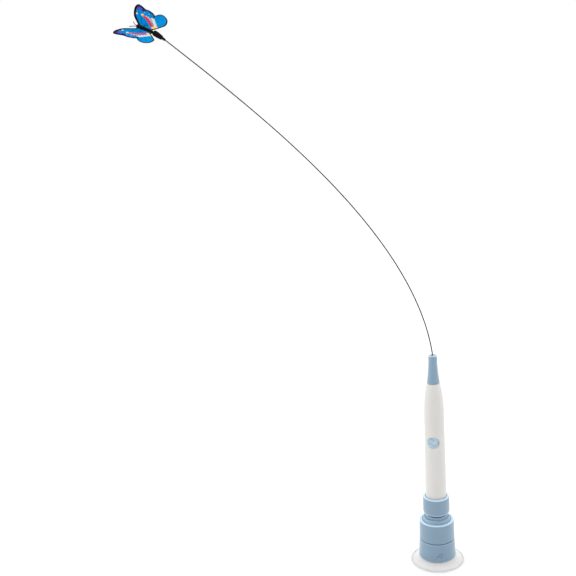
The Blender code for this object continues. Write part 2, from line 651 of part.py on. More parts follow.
def make_ball_joint():
    """The liner that turns in the seat, the ball stud, and what clamps the ball: a bowl-shaped
    washer, a spring washer and a screw."""
    low, high = LINER_ANGLES
    turned("seat_liner", [*bowl(LINER_INNER + LINER_WALL, high, low, BOWL_POINTS),
                          *bowl(LINER_INNER, low, high, BOWL_POINTS)], NYLON)

    cut = BALL_HEIGHT + BALL_CUT
    neck_top = CUP_BOTTOM - GAP
    cut_radius = math.sqrt(BALL_RADIUS ** 2 - BALL_CUT ** 2)
    cut_angle = math.pi - math.acos(BALL_CUT / BALL_RADIUS)
    mouth = math.asin(SCREW_HOLE / BALL_RADIUS)
    ball_bottom = BALL_HEIGHT - BALL_RADIUS
    turned("ball_stud", [
        (0.0, neck_top - SCREW_DEPTH - GAP), (SCREW_HOLE, neck_top - SCREW_DEPTH - GAP),
        (SCREW_HOLE, neck_top), (NECK_RADIUS, neck_top), (NECK_RADIUS, cut), (cut_radius, cut),
        *bowl(BALL_RADIUS, cut_angle, mouth, BALL_POINTS)[1:],
        (SCREW_HOLE, ball_bottom + SCREW_DEPTH), (0.0, ball_bottom + SCREW_DEPTH)], BLUE)

    washer_inner = SEAT_RADIUS + SEAT_WALL + GAP
    washer_outer = washer_inner + WASHER_WALL
    hole = math.asin((SCREW_RADIUS + GAP) / washer_inner)
    turned("ball_washer", [*bowl(washer_inner, WASHER_ANGLE, WASHER_ANGLE, 2)[:1],
                           *bowl(washer_outer, WASHER_ANGLE, hole),
                           *bowl(washer_inner, hole, WASHER_ANGLE)[:-1]], NYLON, SMALL_STEPS)

    spring_angle = math.asin(SPRING_WASHER_RADIUS / washer_outer)
    spring_top = bowl(washer_outer, spring_angle, spring_angle, 2)[0][1] - GAP
    spring_inner_top = spring_top - SPRING_WASHER_RISE
    spring_hole = SCREW_RADIUS + GAP
    turned("spring_washer", [
        (SPRING_WASHER_RADIUS, spring_top), (SPRING_WASHER_RADIUS, spring_top - SPRING_WASHER_WALL),
        (spring_hole, spring_inner_top - SPRING_WASHER_WALL), (spring_hole, spring_inner_top)],
        STEEL, SMALL_STEPS)

    head_top = spring_inner_top - SPRING_WASHER_WALL - GAP
    screw_tip = ball_bottom + SCREW_DEPTH - GAP
    turned("clamp_screw", [
        (0.0, screw_tip), (SCREW_RADIUS, screw_tip), (SCREW_RADIUS, head_top),
        (SCREW_HEAD_RADIUS, head_top), (SCREW_HEAD_RADIUS, head_top - SCREW_HEAD),
        (0.0, head_top - SCREW_HEAD)], STEEL, PIN_STEPS)


def make_cup():
    """The cup that takes the handle's foot, with a tighter grip low down, and its screw."""
    sink = CUP_DECK - SCREW_HEAD - GAP
    grip = HANDLE_FOOT_RADIUS + CUP_GRIP_GAP
    grip_top = CUP_DECK + CUP_GRIP_HEIGHT
    head_hole = SCREW_HEAD_RADIUS + GAP
    corner = arc((CUP_RADIUS - CUP_CORNER, CUP_BOTTOM + CUP_CORNER), CUP_CORNER,
                 0.0, -math.pi / 2, CUP_CORNER_POINTS)
    turned("wand_cup", [
        (CUP_RADIUS - CUP_RIM_ROUND, CUP_TOP), (CUP_RADIUS, CUP_TOP - CUP_RIM_ROUND), *corner,
        (SCREW_HOLE, CUP_BOTTOM), (SCREW_HOLE, sink), (head_hole, sink), (head_hole, CUP_DECK),
        (grip, CUP_DECK), (grip, grip_top), (CUP_BORE, grip_top + CUP_GRIP_SLOPE),
        (CUP_BORE, CUP_TOP - CUP_RIM_ROUND), (CUP_BORE + CUP_RIM_ROUND, CUP_TOP)], BLUE)
    tip = CUP_BOTTOM - GAP - SCREW_DEPTH
    turned("cup_screw", [
        (0.0, CUP_DECK - GAP / 2), (SCREW_HEAD_RADIUS, CUP_DECK - GAP / 2),
        (SCREW_HEAD_RADIUS, CUP_DECK - SCREW_HEAD), (SCREW_RADIUS, CUP_DECK - SCREW_HEAD),
        (SCREW_RADIUS, tip), (0.0, tip)], STEEL, PIN_STEPS)


def handle_radius(height):
    """Outer radius of the handle: two gentle tapers, then an ogive up to the nose."""
    if height >= HANDLE_SHOULDER:
        share = (height - HANDLE_SHOULDER) / (HANDLE_TOP - HANDLE_SHOULDER)
        swell = HANDLE_SHOULDER_RADIUS - HANDLE_NOSE_RADIUS
        return HANDLE_NOSE_RADIUS + swell * (1 - share ** HANDLE_OGIVE_POWER)
    if height >= HANDLE_WAIST:
        share = (height - HANDLE_WAIST) / (HANDLE_SHOULDER - HANDLE_WAIST)
        return HANDLE_WAIST_RADIUS + (HANDLE_SHOULDER_RADIUS - HANDLE_WAIST_RADIUS) * share
    share = (height - FOOT) / (HANDLE_WAIST - FOOT)
    return HANDLE_FOOT_RADIUS + (HANDLE_WAIST_RADIUS - HANDLE_FOOT_RADIUS) * share


def make_handle():
    """The white tube, with the button's hole, and the cap that closes its foot."""
    bottom = CAP_TOP + GAP
    rise = HANDLE_TOP - HANDLE_SHOULDER
    plate = HANDLE_TOP - HANDLE_NOSE_PLATE
    nose_hole = BUSH_RADIUS + GAP
    outer = [(handle_radius(HANDLE_SHOULDER + rise * s), HANDLE_SHOULDER + rise * s)
             for s in OGIVE_SHARES]
    inner = [(handle_radius(HANDLE_SHOULDER + rise * s) - HANDLE_WALL, HANDLE_SHOULDER + rise * s)
             for s in OGIVE_INNER_SHARES]
    tube = turned("handle_tube", [
        *outer, (HANDLE_WAIST_RADIUS, HANDLE_WAIST), (handle_radius(bottom), bottom),
        (handle_radius(bottom) - HANDLE_WALL, bottom),
        (HANDLE_WAIST_RADIUS - HANDLE_WALL, HANDLE_WAIST), *inner,
        (handle_radius(plate) - HANDLE_WALL, plate), (nose_hole, plate), (nose_hole, HANDLE_TOP)],
        WHITE)
    reach = HANDLE_FOOT_RADIUS + OVERRUN
    hole = rod("button_hole", BUTTON_RADIUS + BUTTON_HOLE_GAP, -reach / 2, reach / 2, None,
               steps=SMALL_STEPS)
    lay_along(hole, "Y", BUTTON_HEIGHT)
    hole.location.y = -reach / 2
    boolean(tube, hole, "DIFFERENCE")

    plug = handle_radius(CAP_TOP) - HANDLE_WALL - GAP
    plug_bore = plug - CAP_PLUG_WALL
    corner = arc((HANDLE_FOOT_RADIUS - CAP_ROUND, FOOT + CAP_ROUND), CAP_ROUND,
                 0.0, -math.pi / 2, CUP_CORNER_POINTS)
    cap = turned("end_cap", [
        (0.0, FOOT + CAP_FLOOR), (plug_bore, FOOT + CAP_FLOOR), (plug_bore, CAP_TOP + CAP_PLUG),
        (plug, CAP_TOP + CAP_PLUG), (plug, CAP_TOP), (HANDLE_FOOT_RADIUS, CAP_TOP), *corner,
        (0.0, FOOT)], WHITE, SMALL_STEPS)
    half_width = SOCKET_WIDTH / 2 + GAP
    half_depth = SOCKET_DEPTH / 2 + GAP
    mouth = block("socket_hole", (-half_width, -half_depth, FOOT - OVERRUN),
                  (half_width, half_depth, FOOT + CAP_FLOOR + OVERRUN), None)
    boolean(cap, mouth, "DIFFERENCE")


def make_socket():
    """The charging socket: a small open-ended steel shell in the end cap."""
    bottom = FOOT + SOCKET_SINK
    half_width = SOCKET_WIDTH / 2
    half_depth = SOCKET_DEPTH / 2
    shell = block("charge_socket", (-half_width, -half_depth, bottom),
                  (half_width, half_depth, bottom + SOCKET_LENGTH), STEEL)
    cavity = block("socket_cavity", (SOCKET_SHELL - half_width, SOCKET_SHELL - half_depth,
                                     bottom - OVERRUN),
                   (half_width - SOCKET_SHELL, half_depth - SOCKET_SHELL, bottom + SOCKET_MOUTH),
                   None)
    boolean(shell, cavity, "DIFFERENCE")


def make_frame():
    """The inner frame: a trough with a bay for the battery and one for the motor."""
    top = GEARBOX_BOTTOM - GAP
    edge = math.asin(FRAME_FRONT / FRAME_RADIUS)
    sweep = math.pi - 2 * edge
    angles = [edge + sweep * k / (FRAME_ARC_POINTS - 1) for k in range(FRAME_ARC_POINTS)]
    outline = [(FRAME_RADIUS * math.cos(a), FRAME_RADIUS * math.sin(a)) for a in angles]
    frame = flat_plate("inner_frame", outline, FRAME_BOTTOM, top, NYLON)
    battery_bottom = FRAME_BOTTOM + FRAME_BULKHEAD
    battery_top = battery_bottom + GAP + BATTERY_LENGTH + BATTERY_NUB + GAP
    lower = rod("battery_bay", BAY_RADIUS, battery_bottom, battery_top, None, steps=SMALL_STEPS)
    upper = rod("motor_bay", BAY_RADIUS, battery_top + FRAME_BULKHEAD, top + OVERRUN, None,
                steps=SMALL_STEPS)
    boolean(frame, lower, "DIFFERENCE")
    boolean(frame, upper, "DIFFERENCE")

    cell_bottom = battery_bottom + GAP
    cell_top = cell_bottom + BATTERY_LENGTH
    battery = turned("battery", [
        (0.0, cell_top + BATTERY_NUB), (BATTERY_NUB_RADIUS, cell_top + BATTERY_NUB),
        (BATTERY_NUB_RADIUS, cell_top), (BATTERY_RADIUS, cell_top), (BATTERY_RADIUS, cell_bottom),
        (0.0, cell_bottom)], CELL, SMALL_STEPS)
    battery.location.y = FRAME_FRONT + BATTERY_RADIUS


def make_board():
    """The circuit board with its low push switch, behind the button."""
    half = BOARD_WIDTH / 2
    block("circuit_board", (-half, BOARD_FRONT, FRAME_BOTTOM + BOARD_LIFT),
          (half, BOARD_BACK, BOARD_TOP), BOARD_GREEN)
    half = SWITCH_WIDTH / 2
    face = BOARD_FRONT - GAP - SWITCH_THICKNESS
    switch = block("tact_switch", (-half, face, BUTTON_HEIGHT - half),
                   (half, BOARD_FRONT - GAP, BUTTON_HEIGHT + half), STEEL)
    tip = face - PLUNGER_LENGTH
    plunger = rod("plunger", PLUNGER_RADIUS, 0.0, PLUNGER_LENGTH + SWITCH_THICKNESS / 2, None)
    lay_along(plunger, "Y", BUTTON_HEIGHT)
    plunger.location.y = (tip + face + SWITCH_THICKNESS / 2) / 2
    boolean(switch, plunger, "UNION")


def make_button():
    """The button: a disc of the handle's own curve, a post, and a bar that catches behind the
    edges of the hole."""
    outer = handle_radius(BUTTON_HEIGHT) + BUTTON_PROUD
    inner = outer - BUTTON_THICKNESS
    half = BUTTON_RADIUS + OVERRUN
    shell = turned("button_cap", [
        (outer, BUTTON_HEIGHT + half), (outer, BUTTON_HEIGHT - half),
        (inner, BUTTON_HEIGHT - half), (inner, BUTTON_HEIGHT + half)], BUTTON_BLUE, SHELL_STEPS * 2)
    disc = rod("button_disc", BUTTON_RADIUS, 0.0, outer + OVERRUN, None, steps=SMALL_STEPS)
    lay_along(disc, "Y", BUTTON_HEIGHT)
    disc.location.y = -(outer + OVERRUN) / 2
    boolean(shell, disc, "INTERSECT")

    bar_front = -(BUTTON_WALL - BUTTON_TRAVEL + GAP / 2)
    bar_back = bar_front + BUTTON_BAR_THICKNESS
    post = rod("button_post", BUTTON_POST_RADIUS, 0.0, inner + BUTTON_THICKNESS / 2 + bar_back,
               None)
    lay_along(post, "Y", BUTTON_HEIGHT)
    post.location.y = (bar_back - inner - BUTTON_THICKNESS / 2) / 2
    boolean(shell, post, "UNION")
    half_bar = BUTTON_BAR_WIDTH / 2
    reach = BUTTON_RADIUS + BUTTON_BAR_CATCH
    bar = block("button_bar", (-half_bar, bar_front, BUTTON_HEIGHT - reach),
                (half_bar, bar_back, BUTTON_HEIGHT + reach), None)
    boolean(shell, bar, "UNION")


def make_motor():
    """The motor's can, with a blind bore for the rotor's shaft."""
    top = GEARBOX_BOTTOM - GAP
    bore = MOTOR_SHAFT_RADIUS + RUNNING_GAP
    turned("motor_can", [
        (0.0, top - MOTOR_BORE_DEPTH), (bore, top - MOTOR_BORE_DEPTH), (bore, top),
        (MOTOR_RADIUS - SEAM_CHAMFER, top), (MOTOR_RADIUS, top - SEAM_CHAMFER),
        (MOTOR_RADIUS, MOTOR_BOTTOM), (MOTOR_BOSS_RADIUS, MOTOR_BOTTOM),
        (MOTOR_BOSS_RADIUS, MOTOR_BOTTOM - PLATE_THICKNESS),
        (0.0, MOTOR_BOTTOM - PLATE_THICKNESS)], STEEL, SMALL_STEPS)


def gear_outline(teeth, shift, phase):
    """Outline of an involute gear with stub teeth; one tooth points along the phase angle."""
    pitch = MODULE * teeth / 2
    base = pitch * math.cos(PRESSURE_ANGLE)
    tip = pitch + (TIP_SHARE + shift) * MODULE
    root = pitch - (ROOT_SHARE - shift) * MODULE
    slant = math.tan(PRESSURE_ANGLE)
    half = (MODULE * (math.pi / 2 + 2 * shift * slant) - TOOTH_PLAY) / (2 * pitch)
    radii = [root, base, tip] if teeth == PINION_TEETH else [root, tip]

    def flank(radius):
        lean = math.acos(min(1.0, base / max(radius, base)))
        return half + slant - PRESSURE_ANGLE - (math.tan(lean) - lean)

    points = []
    for tooth in range(teeth):
        middle = phase + 2 * math.pi * tooth / teeth
        sides = [(r, middle - flank(r)) for r in radii] + [(r, middle + flank(r)) for r in radii[::-1]]
        points += [(r * math.cos(a), r * math.sin(a)) for r, a in sides]
    return points


def layer(number):
    """Lower and upper height of a gear layer, counted from 0."""
    bottom = GEARBOX_BOTTOM + PLATE_THICKNESS + PLATE_GAP + number * (LAYER_HEIGHT + GAP)
    return bottom, bottom + LAYER_HEIGHT


def gear_pair(name, wheel_layer, side, bore):
    """A wheel with a pinion on top of it, loose on its axle. side is 1 on the side axle, which
    lies at +Y, and -1 on the handle's axis."""
    towards = -side * math.pi / 2
    wheel_bottom, wheel_top = layer(wheel_layer)
    pinion_top = layer(wheel_layer + 1)[1]
    between = math.pi / WHEEL_TEETH
    wheel = flat_plate(name, gear_outline(WHEEL_TEETH, -SHIFT_SHARE, towards + between),
                       wheel_bottom, wheel_top, NYLON)
    pinion = flat_plate(name + "_pinion", gear_outline(PINION_TEETH, SHIFT_SHARE, towards),
                        wheel_top - LAYER_HEIGHT / 4, pinion_top, None)
    hole = rod(name + "_bore", bore, wheel_bottom - OVERRUN, pinion_top + OVERRUN, None)
    boolean(wheel, pinion, "UNION")
    boolean(wheel, hole, "DIFFERENCE")
    wheel.location.y = GEAR_DISTANCE if side > 0 else 0.0
    pinion.location.y = wheel.location.y
    hole.location.y = wheel.location.y
    return wheel


def make_gear_train():
    """The rotor's pinion, three gears that step the speed down, and the output wheel."""
    low, high = layer(0)
    shaft_bottom = GEARBOX_BOTTOM - GAP - MOTOR_BORE_DEPTH + GAP
    pinion = flat_plate("motor_pinion", gear_outline(PINION_TEETH, SHIFT_SHARE, math.pi / 2),
                        low, high, BRASS)
    shaft = rod("motor_shaft", MOTOR_SHAFT_RADIUS, shaft_bottom, high - LAYER_HEIGHT / 4, None)
    boolean(pinion, shaft, "UNION")
    gear_pair("side_gear_low", 0, 1, AXLE_BORE)
    gear_pair("centre_gear", 1, -1, AXLE_BORE)
    gear_pair("side_gear_high", 2, 1, AXLE_BORE)

    low, high = layer(3)
    between = math.pi / WHEEL_TEETH
    output = flat_plate("output_gear",
                        gear_outline(WHEEL_TEETH, -SHIFT_SHARE, math.pi / 2 + between),
                        low, high, NYLON)
    hole = rod("output_bore", SHAFT_BORE, low - OVERRUN, high + OVERRUN, None)
    boolean(output, hole, "DIFFERENCE")
    stub_bottom = layer(0)[1] + GAP + GAP
    turned("output_shaft", [
        (0.0, SHAFT_TOP), (SHAFT_RADIUS, SHAFT_TOP), (SHAFT_RADIUS, low), (AXLE_RADIUS, low),
        (AXLE_RADIUS, stub_bottom), (0.0, stub_bottom)], STEEL, PIN_STEPS)


def make_gearbox():
    """Two round plates, two posts and the side axle that hold the gears."""
    base_top = GEARBOX_BOTTOM + PLATE_THICKNESS
    top_bottom = layer(3)[1] + PLATE_GAP
    top = top_bottom + PLATE_THICKNESS
    side = GEAR_DISTANCE
    base = rod("gearbox_base", PLATE_RADIUS, GEARBOX_BOTTOM, base_top, NYLON, steps=SHELL_STEPS)
    cover = rod("gearbox_top", PLATE_RADIUS, top_bottom, top, NYLON, steps=SHELL_STEPS)
    for plate, name, radius, y in (
            (base, "shaft_hole", MOTOR_SHAFT_RADIUS + RUNNING_GAP, 0.0),
            (base, "axle_hole_low", AXLE_BORE, side),
            (cover, "output_hole", SHAFT_BORE, 0.0),
            (cover, "axle_hole_high", AXLE_BORE, side)):
        hole = rod(name, radius, GEARBOX_BOTTOM - OVERRUN, top + OVERRUN, None, y=y)
        boolean(plate, hole, "DIFFERENCE")
    rod("side_axle", AXLE_RADIUS, GEARBOX_BOTTOM + GAP, top - GAP, STEEL, y=side)
    reach = PLATE_RADIUS - POST_EDGE - POST_RADIUS
    post_x = reach * math.cos(POST_ANGLE)
    post_y = reach * math.sin(POST_ANGLE)
    for name, x in (("gearbox_post_left", -post_x), ("gearbox_post_right", post_x)):
        rod(name, POST_RADIUS, base_top + GAP, top_bottom - GAP, STEEL, x=x, y=post_y)


def make_bush():
    """The flanged bush in the handle's nose, which the output shaft turns in."""
    plate = HANDLE_TOP - HANDLE_NOSE_PLATE
    turned("nose_bush", [
        (BUSH_RADIUS, HANDLE_TOP), (BUSH_RADIUS, plate - GAP), (BUSH_FLANGE_RADIUS, plate - GAP),
        (BUSH_FLANGE_RADIUS, plate - GAP - BUSH_FLANGE), (SHAFT_BORE, plate - GAP - BUSH_FLANGE),
        (SHAFT_BORE, HANDLE_TOP)], BRASS, SMALL_STEPS)


def make_nose():
    """The blue nose cone on the output shaft, and the ferrule that grips the wire in its top."""
    rise = NOSE_TOP - NOSE_BOTTOM
    swell = NOSE_BOTTOM_RADIUS - NOSE_TOP_RADIUS
    side = [(NOSE_TOP_RADIUS + swell * s ** NOSE_FLARE_POWER, NOSE_TOP - rise * s)
            for s in NOSE_FLARE_SHARES]
    recess = NOSE_TOP - NOSE_RECESS
    turned("nose_cone", [
        (0.0, WIRE_FOOT), (WIRE_BORE, WIRE_FOOT), (WIRE_BORE, recess), (NOSE_RECESS_RADIUS, recess),
        (NOSE_RECESS_RADIUS, NOSE_TOP), (NOSE_TOP_RADIUS - NOSE_ROUND, NOSE_TOP),
        (NOSE_TOP_RADIUS, NOSE_TOP - NOSE_ROUND), *side[1:],
        (NOSE_BOTTOM_RADIUS, NOSE_BOTTOM + NOSE_ROUND),
        (NOSE_BOTTOM_RADIUS - NOSE_ROUND, NOSE_BOTTOM), (SHAFT_BORE, NOSE_BOTTOM),
        (SHAFT_BORE, SHAFT_TOP + GAP), (0.0, SHAFT_TOP + GAP)], BLUE)
    bottom = recess + GAP
    top = bottom + FERRULE_LENGTH
    turned("wire_ferrule", [
        (FERRULE_RADIUS, top), (FERRULE_RADIUS, bottom), (WIRE_BORE, bottom), (WIRE_BORE, top)],
        STEEL, PIN_STEPS)


def bead_direction():
    """Which way the sleeve and the bead point, from the wire's end towards the butterfly."""
    return Vector((-math.cos(BEAD_RISE), 0.0, math.sin(BEAD_RISE)))


def tube(name, points, radius, paint):
    """A round wire along a list of points, with its ends closed."""
    curve = bpy.data.curves.new(name, "CURVE")
    curve.dimensions = "3D"
    curve.bevel_depth = radius
    curve.bevel_resolution = 2
    curve.use_fill_caps = True
    curve.resolution_u = 1
    curve.render_resolution_u = 0
    spline = curve.splines.new("POLY")
    spline.points.add(len(points) - 1)
    for point, place_at in zip(spline.points, points):
        point.co = (*place_at, 1.0)
    return place(name, curve, paint)


def make_wire():
    """The steel wire: straight in the nose, then one cubic curve out to the sleeve and bead."""
    foot = Vector((0.0, 0.0, WIRE_FOOT + GAP))
    start = Vector((0.0, 0.0, NOSE_TOP - NOSE_RECESS + GAP + FERRULE_LENGTH))
    lean = Vector((-math.sin(WIRE_START_LEAN), 0.0, math.cos(WIRE_START_LEAN)))
    rise = Vector((-math.cos(WIRE_END_RISE), 0.0, math.sin(WIRE_END_RISE)))
    first = start + lean * WIRE_START_PULL
    second = WIRE_END - rise * WIRE_END_PULL
    points = [foot]
    for k in range(WIRE_POINTS):
        t = k / (WIRE_POINTS - 1)
        s = 1 - t
        points.append(start * s ** 3 + first * (3 * s * s * t) + second * (3 * s * t * t)
                      + WIRE_END * t ** 3)
    inside = SLEEVE_LENGTH + GAP + BEAD_LENGTH - BEAD_SOLID_END - GAP
    points.append(WIRE_END + bead_direction() * inside)
    tube("steel_wire", points, WIRE_RADIUS, STEEL)


def point_along(piece, origin, direction):
    """Place a piece that was turned about Z so that its Z runs along a direction."""
    turn = direction.to_track_quat("Z", "Y").to_matrix().to_4x4()
    piece.matrix_world = Matrix.Translation(origin) @ turn
    return piece


def make_sleeve_and_bead():
    """The thin sleeve on the wire's end and the fat bead that holds the butterfly."""
    sleeve = turned("wire_sleeve", [
        (SLEEVE_RADIUS, SLEEVE_LENGTH), (SLEEVE_TIP_RADIUS, 0.0), (WIRE_BORE, 0.0),
        (WIRE_BORE, SLEEVE_LENGTH)], BLACK, PIN_STEPS)
    point_along(sleeve, WIRE_END, bead_direction())
    swell = BEAD_RADIUS - BEAD_NECK_RADIUS
    side = [(BEAD_NECK_RADIUS + swell * out, BEAD_LENGTH * along)
            for along, out in reversed(BEAD_SHARES)]
    solid = BEAD_LENGTH - BEAD_SOLID_END
    bead = turned("tail_bead", [
        (0.0, BEAD_LENGTH), *side, (WIRE_BORE, 0.0), (WIRE_BORE, solid), (0.0, solid)],
        BLACK, PIN_STEPS)
    point_along(bead, WIRE_END + bead_direction() * (SLEEVE_LENGTH + GAP), bead_direction())


def fly_frame():
    """The butterfly's origin, and its forward, left and up directions."""
    forward = Vector((-math.cos(FLY_HEADING) * math.cos(FLY_RISE),
                      math.sin(FLY_HEADING) * math.cos(FLY_RISE), math.sin(FLY_RISE)))
    level = forward.cross(Vector((0.0, 0.0, 1.0))).normalized()
    upright = level.cross(forward).normalized()
    left = level * math.cos(FLY_ROLL) + upright * math.sin(FLY_ROLL)
    up = upright * math.cos(FLY_ROLL) - level * math.sin(FLY_ROLL)
    bead_end = WIRE_END + bead_direction() * (SLEEVE_LENGTH + GAP + BEAD_LENGTH)
    origin = bead_end + bead_direction() * GAP + forward * (TAIL_LENGTH + GAP)
    return origin, forward, left, up


def make_fly_body():
    """The butterfly's body: abdomen, waist, thorax and head in one turned piece."""
    origin, forward, left, up = fly_frame()
    length = TAIL_LENGTH + HEAD_LENGTH
    side = [(THORAX_RADIUS * out, length * along - TAIL_LENGTH)
            for along, out in reversed(BODY_SHARES)]
    body = turned("butterfly_body", [(0.0, HEAD_LENGTH), *side, (0.0, -TAIL_LENGTH)], BLACK,
                  PIN_STEPS)
    point_along(body, origin, forward * math.cos(BODY_TILT) + up * math.sin(BODY_TILT))


def make_wing(name, side):
    """One wing of thin printed film, fore and hind lobes in one outline. side is 1 for the left
    wing and -1 for the right."""
    origin, forward, left, up = fly_frame()
    out = (left * side * math.cos(FLY_DIHEDRAL) + up * math.sin(FLY_DIHEDRAL)).normalized()
    curve = bpy.data.curves.new(name, "CURVE")
    curve.dimensions = "2D"
    curve.fill_mode = "BOTH"
    curve.extrude = WING_THICKNESS / 2
    curve.resolution_u = WING_RESOLUTION
    curve.render_resolution_u = 0
    spline = curve.splines.new("BEZIER")
    spline.bezier_points.add(len(WING_SHARES) - 1)
    root = THORAX_RADIUS + WING_ROOT_GAP
    for point, (along, outward) in zip(spline.bezier_points, WING_SHARES):
        point.co = (WING_CHORD * along, root + (WING_SPAN - root) * outward, 0.0)
        point.handle_left_type = "AUTO"
        point.handle_right_type = "AUTO"
    for corner in (spline.bezier_points[0], spline.bezier_points[-1]):
        corner.handle_left_type = "VECTOR"
        corner.handle_right_type = "VECTOR"
    spline.use_cyclic_u = True
    wing = place(name, curve, WING_BLUE)
    normal = forward.cross(out)
    turn = Matrix((forward, out, normal)).transposed().to_4x4()
    wing.matrix_world = Matrix.Translation(origin - up * WING_DROP) @ turn


def make_antenna(name, side):
    """One thin feeler that curves forwards and outwards from the head."""
    origin, forward, left, up = fly_frame()
    length = TAIL_LENGTH + HEAD_LENGTH
    head = origin + forward * (length * HEAD_CENTRE_SHARE - TAIL_LENGTH)
    lift = forward * math.cos(ANTENNA_LIFT) + up * math.sin(ANTENNA_LIFT)
    points = []
    for k in range(ANTENNA_POINTS):
        share = k / (ANTENNA_POINTS - 1)
        spread = ANTENNA_SPREAD + ANTENNA_BEND * share
        way = lift * math.cos(spread) + left * side * math.sin(spread)
        points.append(head + way * (ANTENNA_START + ANTENNA_LENGTH * share))
    tube(name, points, ANTENNA_RADIUS, BLACK)


def make_butterfly():
    """The body, two wings and two feelers."""
    make_fly_body()
    for name, side in (("left", 1), ("right", -1)):
        make_wing("wing_" + name, side)
        make_antenna("antenna_" + name, side)


def smooth_round_pieces():
    """Shade the turned pieces smooth, but keep their real edges."""
    for piece in PIECES.objects:
        if piece.type == "MESH" and not piece.modifiers:
            piece.data.shade_smooth()
            piece.data.set_sharp_from_angle(angle=math.radians(40))


make_pad()
make_stud()
make_base_ring()
make_collar()
make_ball_joint()
make_cup()
make_handle()
make_socket()
make_frame()
make_board()
make_button()
make_motor()
make_gear_train()
make_gearbox()
make_bush()
make_nose()
make_wire()
make_sleeve_and_bead()
make_butterfly()
smooth_round_pieces()
bpy.context.view_layer.update()
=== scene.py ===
# %% [markdown]
# # A rotating cat toy, dressed for its portrait
# A clear suction pad holds a blue twist lock. A ball joint in the lock carries a blue cup, a white
# battery handle stands in the cup, and a geared nose swings a long steel wire with a butterfly.
# Every new piece below stands for one of them, sits where it sits and rides on its body, so the
# toy still moves as its joints say.

# %% Load the frame
import math
import bmesh
import bpy
import numpy as np
from mathutils import Matrix, Vector


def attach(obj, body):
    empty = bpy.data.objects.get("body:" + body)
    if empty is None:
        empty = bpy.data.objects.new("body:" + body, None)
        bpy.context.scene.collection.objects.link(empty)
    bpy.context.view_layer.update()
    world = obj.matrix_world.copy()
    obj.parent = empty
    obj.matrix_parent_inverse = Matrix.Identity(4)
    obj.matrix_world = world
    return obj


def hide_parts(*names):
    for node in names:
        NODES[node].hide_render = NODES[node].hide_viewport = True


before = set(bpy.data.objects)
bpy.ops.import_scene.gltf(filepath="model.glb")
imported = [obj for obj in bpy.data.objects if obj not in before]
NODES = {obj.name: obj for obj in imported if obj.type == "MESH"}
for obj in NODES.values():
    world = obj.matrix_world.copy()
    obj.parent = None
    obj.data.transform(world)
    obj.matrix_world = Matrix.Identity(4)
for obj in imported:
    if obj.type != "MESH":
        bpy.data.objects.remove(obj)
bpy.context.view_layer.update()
MM = 0.001
print("solids loaded:", len(NODES))

# %% [markdown]
# ## Camera
# The photograph looks down at the toy from a little to the right of its button. The numbers come
# from matching known points of the solids to the photograph: the pad's edge, the seams, the
# button, the nose and the wire's end. The lens needs no shift for it.

# %% Camera
EYE_DISTANCE = 1.270
EYE_TURN = math.radians(9.0)
EYE_HEIGHT = 0.774
LOOK_TURN = math.radians(16.88)
LOOK_FALL = math.radians(17.1)
ROLL = math.radians(-3.74)
LENS = 67.56

eye = Vector((EYE_DISTANCE * math.sin(EYE_TURN), -EYE_DISTANCE * math.cos(EYE_TURN), EYE_HEIGHT))
look = Vector((-math.sin(LOOK_TURN) * math.cos(LOOK_FALL),
               math.cos(LOOK_TURN) * math.cos(LOOK_FALL), -math.sin(LOOK_FALL)))
level_right = Vector((math.cos(LOOK_TURN), math.sin(LOOK_TURN), 0.0))
level_up = level_right.cross(look)
right = level_right * math.cos(ROLL) + level_up * math.sin(ROLL)
up = level_up * math.cos(ROLL) - level_right * math.sin(ROLL)
lens = bpy.data.cameras.new("portrait_lens")
lens.lens = LENS
lens.sensor_width = 36.0
camera = bpy.data.objects.new("portrait_camera", lens)
turn = Matrix((right, up, -look)).transposed().to_4x4()
camera.matrix_world = Matrix.Translation(eye) @ turn
bpy.context.scene.collection.objects.link(camera)
bpy.context.scene.camera = camera
print("camera at", tuple(round(c, 3) for c in eye))

# %% [markdown]
# ## Floor and light
# The photograph is a white studio shot with no cast shadow to speak of. A lamp tent gives such
# light: its walls are a white world that is brighter upwards and backwards, its roof is a very
# wide sun, which is the same all over the floor, and three soft panels let the rims and the nose
# shine. The picture's ground has to be plain white without washing out the thin wire, so the
# floor and the world use Light Path to show the camera one level and give the toy another.

# %% Floor, world and lamps
FLOOR_SIZE = 9.0
FLOOR_TONE, FLOOR_SEEN = 0.74, 0.70
WORLD_MEAN = 0.68
WORLD_SLOPE = 0.95
ROOM_WAY = (-0.12, 0.60, 0.79)
SUN_WAY = (0.02, -0.12, -0.99)
SUN_STRENGTH = 1.10
SUN_WIDTH = math.radians(45)


def stage_floor(size):
    """A flat square of floor that fills the picture from every side. The camera sees it in
    FLOOR_SEEN, and the light that it throws back at the toy is that of FLOOR_TONE."""
    mesh = bpy.data.meshes.new("studio_floor")
    half = size / 2
    mesh.from_pydata([(-half, -half, 0), (half, -half, 0), (half, half, 0), (-half, half, 0)],
                     [], [(0, 1, 2, 3)])
    floor = bpy.data.objects.new("studio_floor", mesh)
    bpy.context.scene.collection.objects.link(floor)
    paint = bpy.data.materials.new("studio_white")
    paint.use_nodes = True
    shader = paint.node_tree.nodes["Principled BSDF"]
    seen = paint.node_tree.nodes.new("ShaderNodeMix")
    seen.inputs[2].default_value, seen.inputs[3].default_value = FLOOR_TONE, FLOOR_SEEN
    sight = paint.node_tree.nodes.new("ShaderNodeLightPath")
    paint.node_tree.links.new(sight.outputs["Is Camera Ray"], seen.inputs[0])
    paint.node_tree.links.new(seen.outputs[0], shader.inputs["Base Color"])
    shader.inputs["Roughness"].default_value = 0.9
    shader.inputs["Specular IOR Level"].default_value = 0.1
    mesh.materials.append(paint)
    return floor


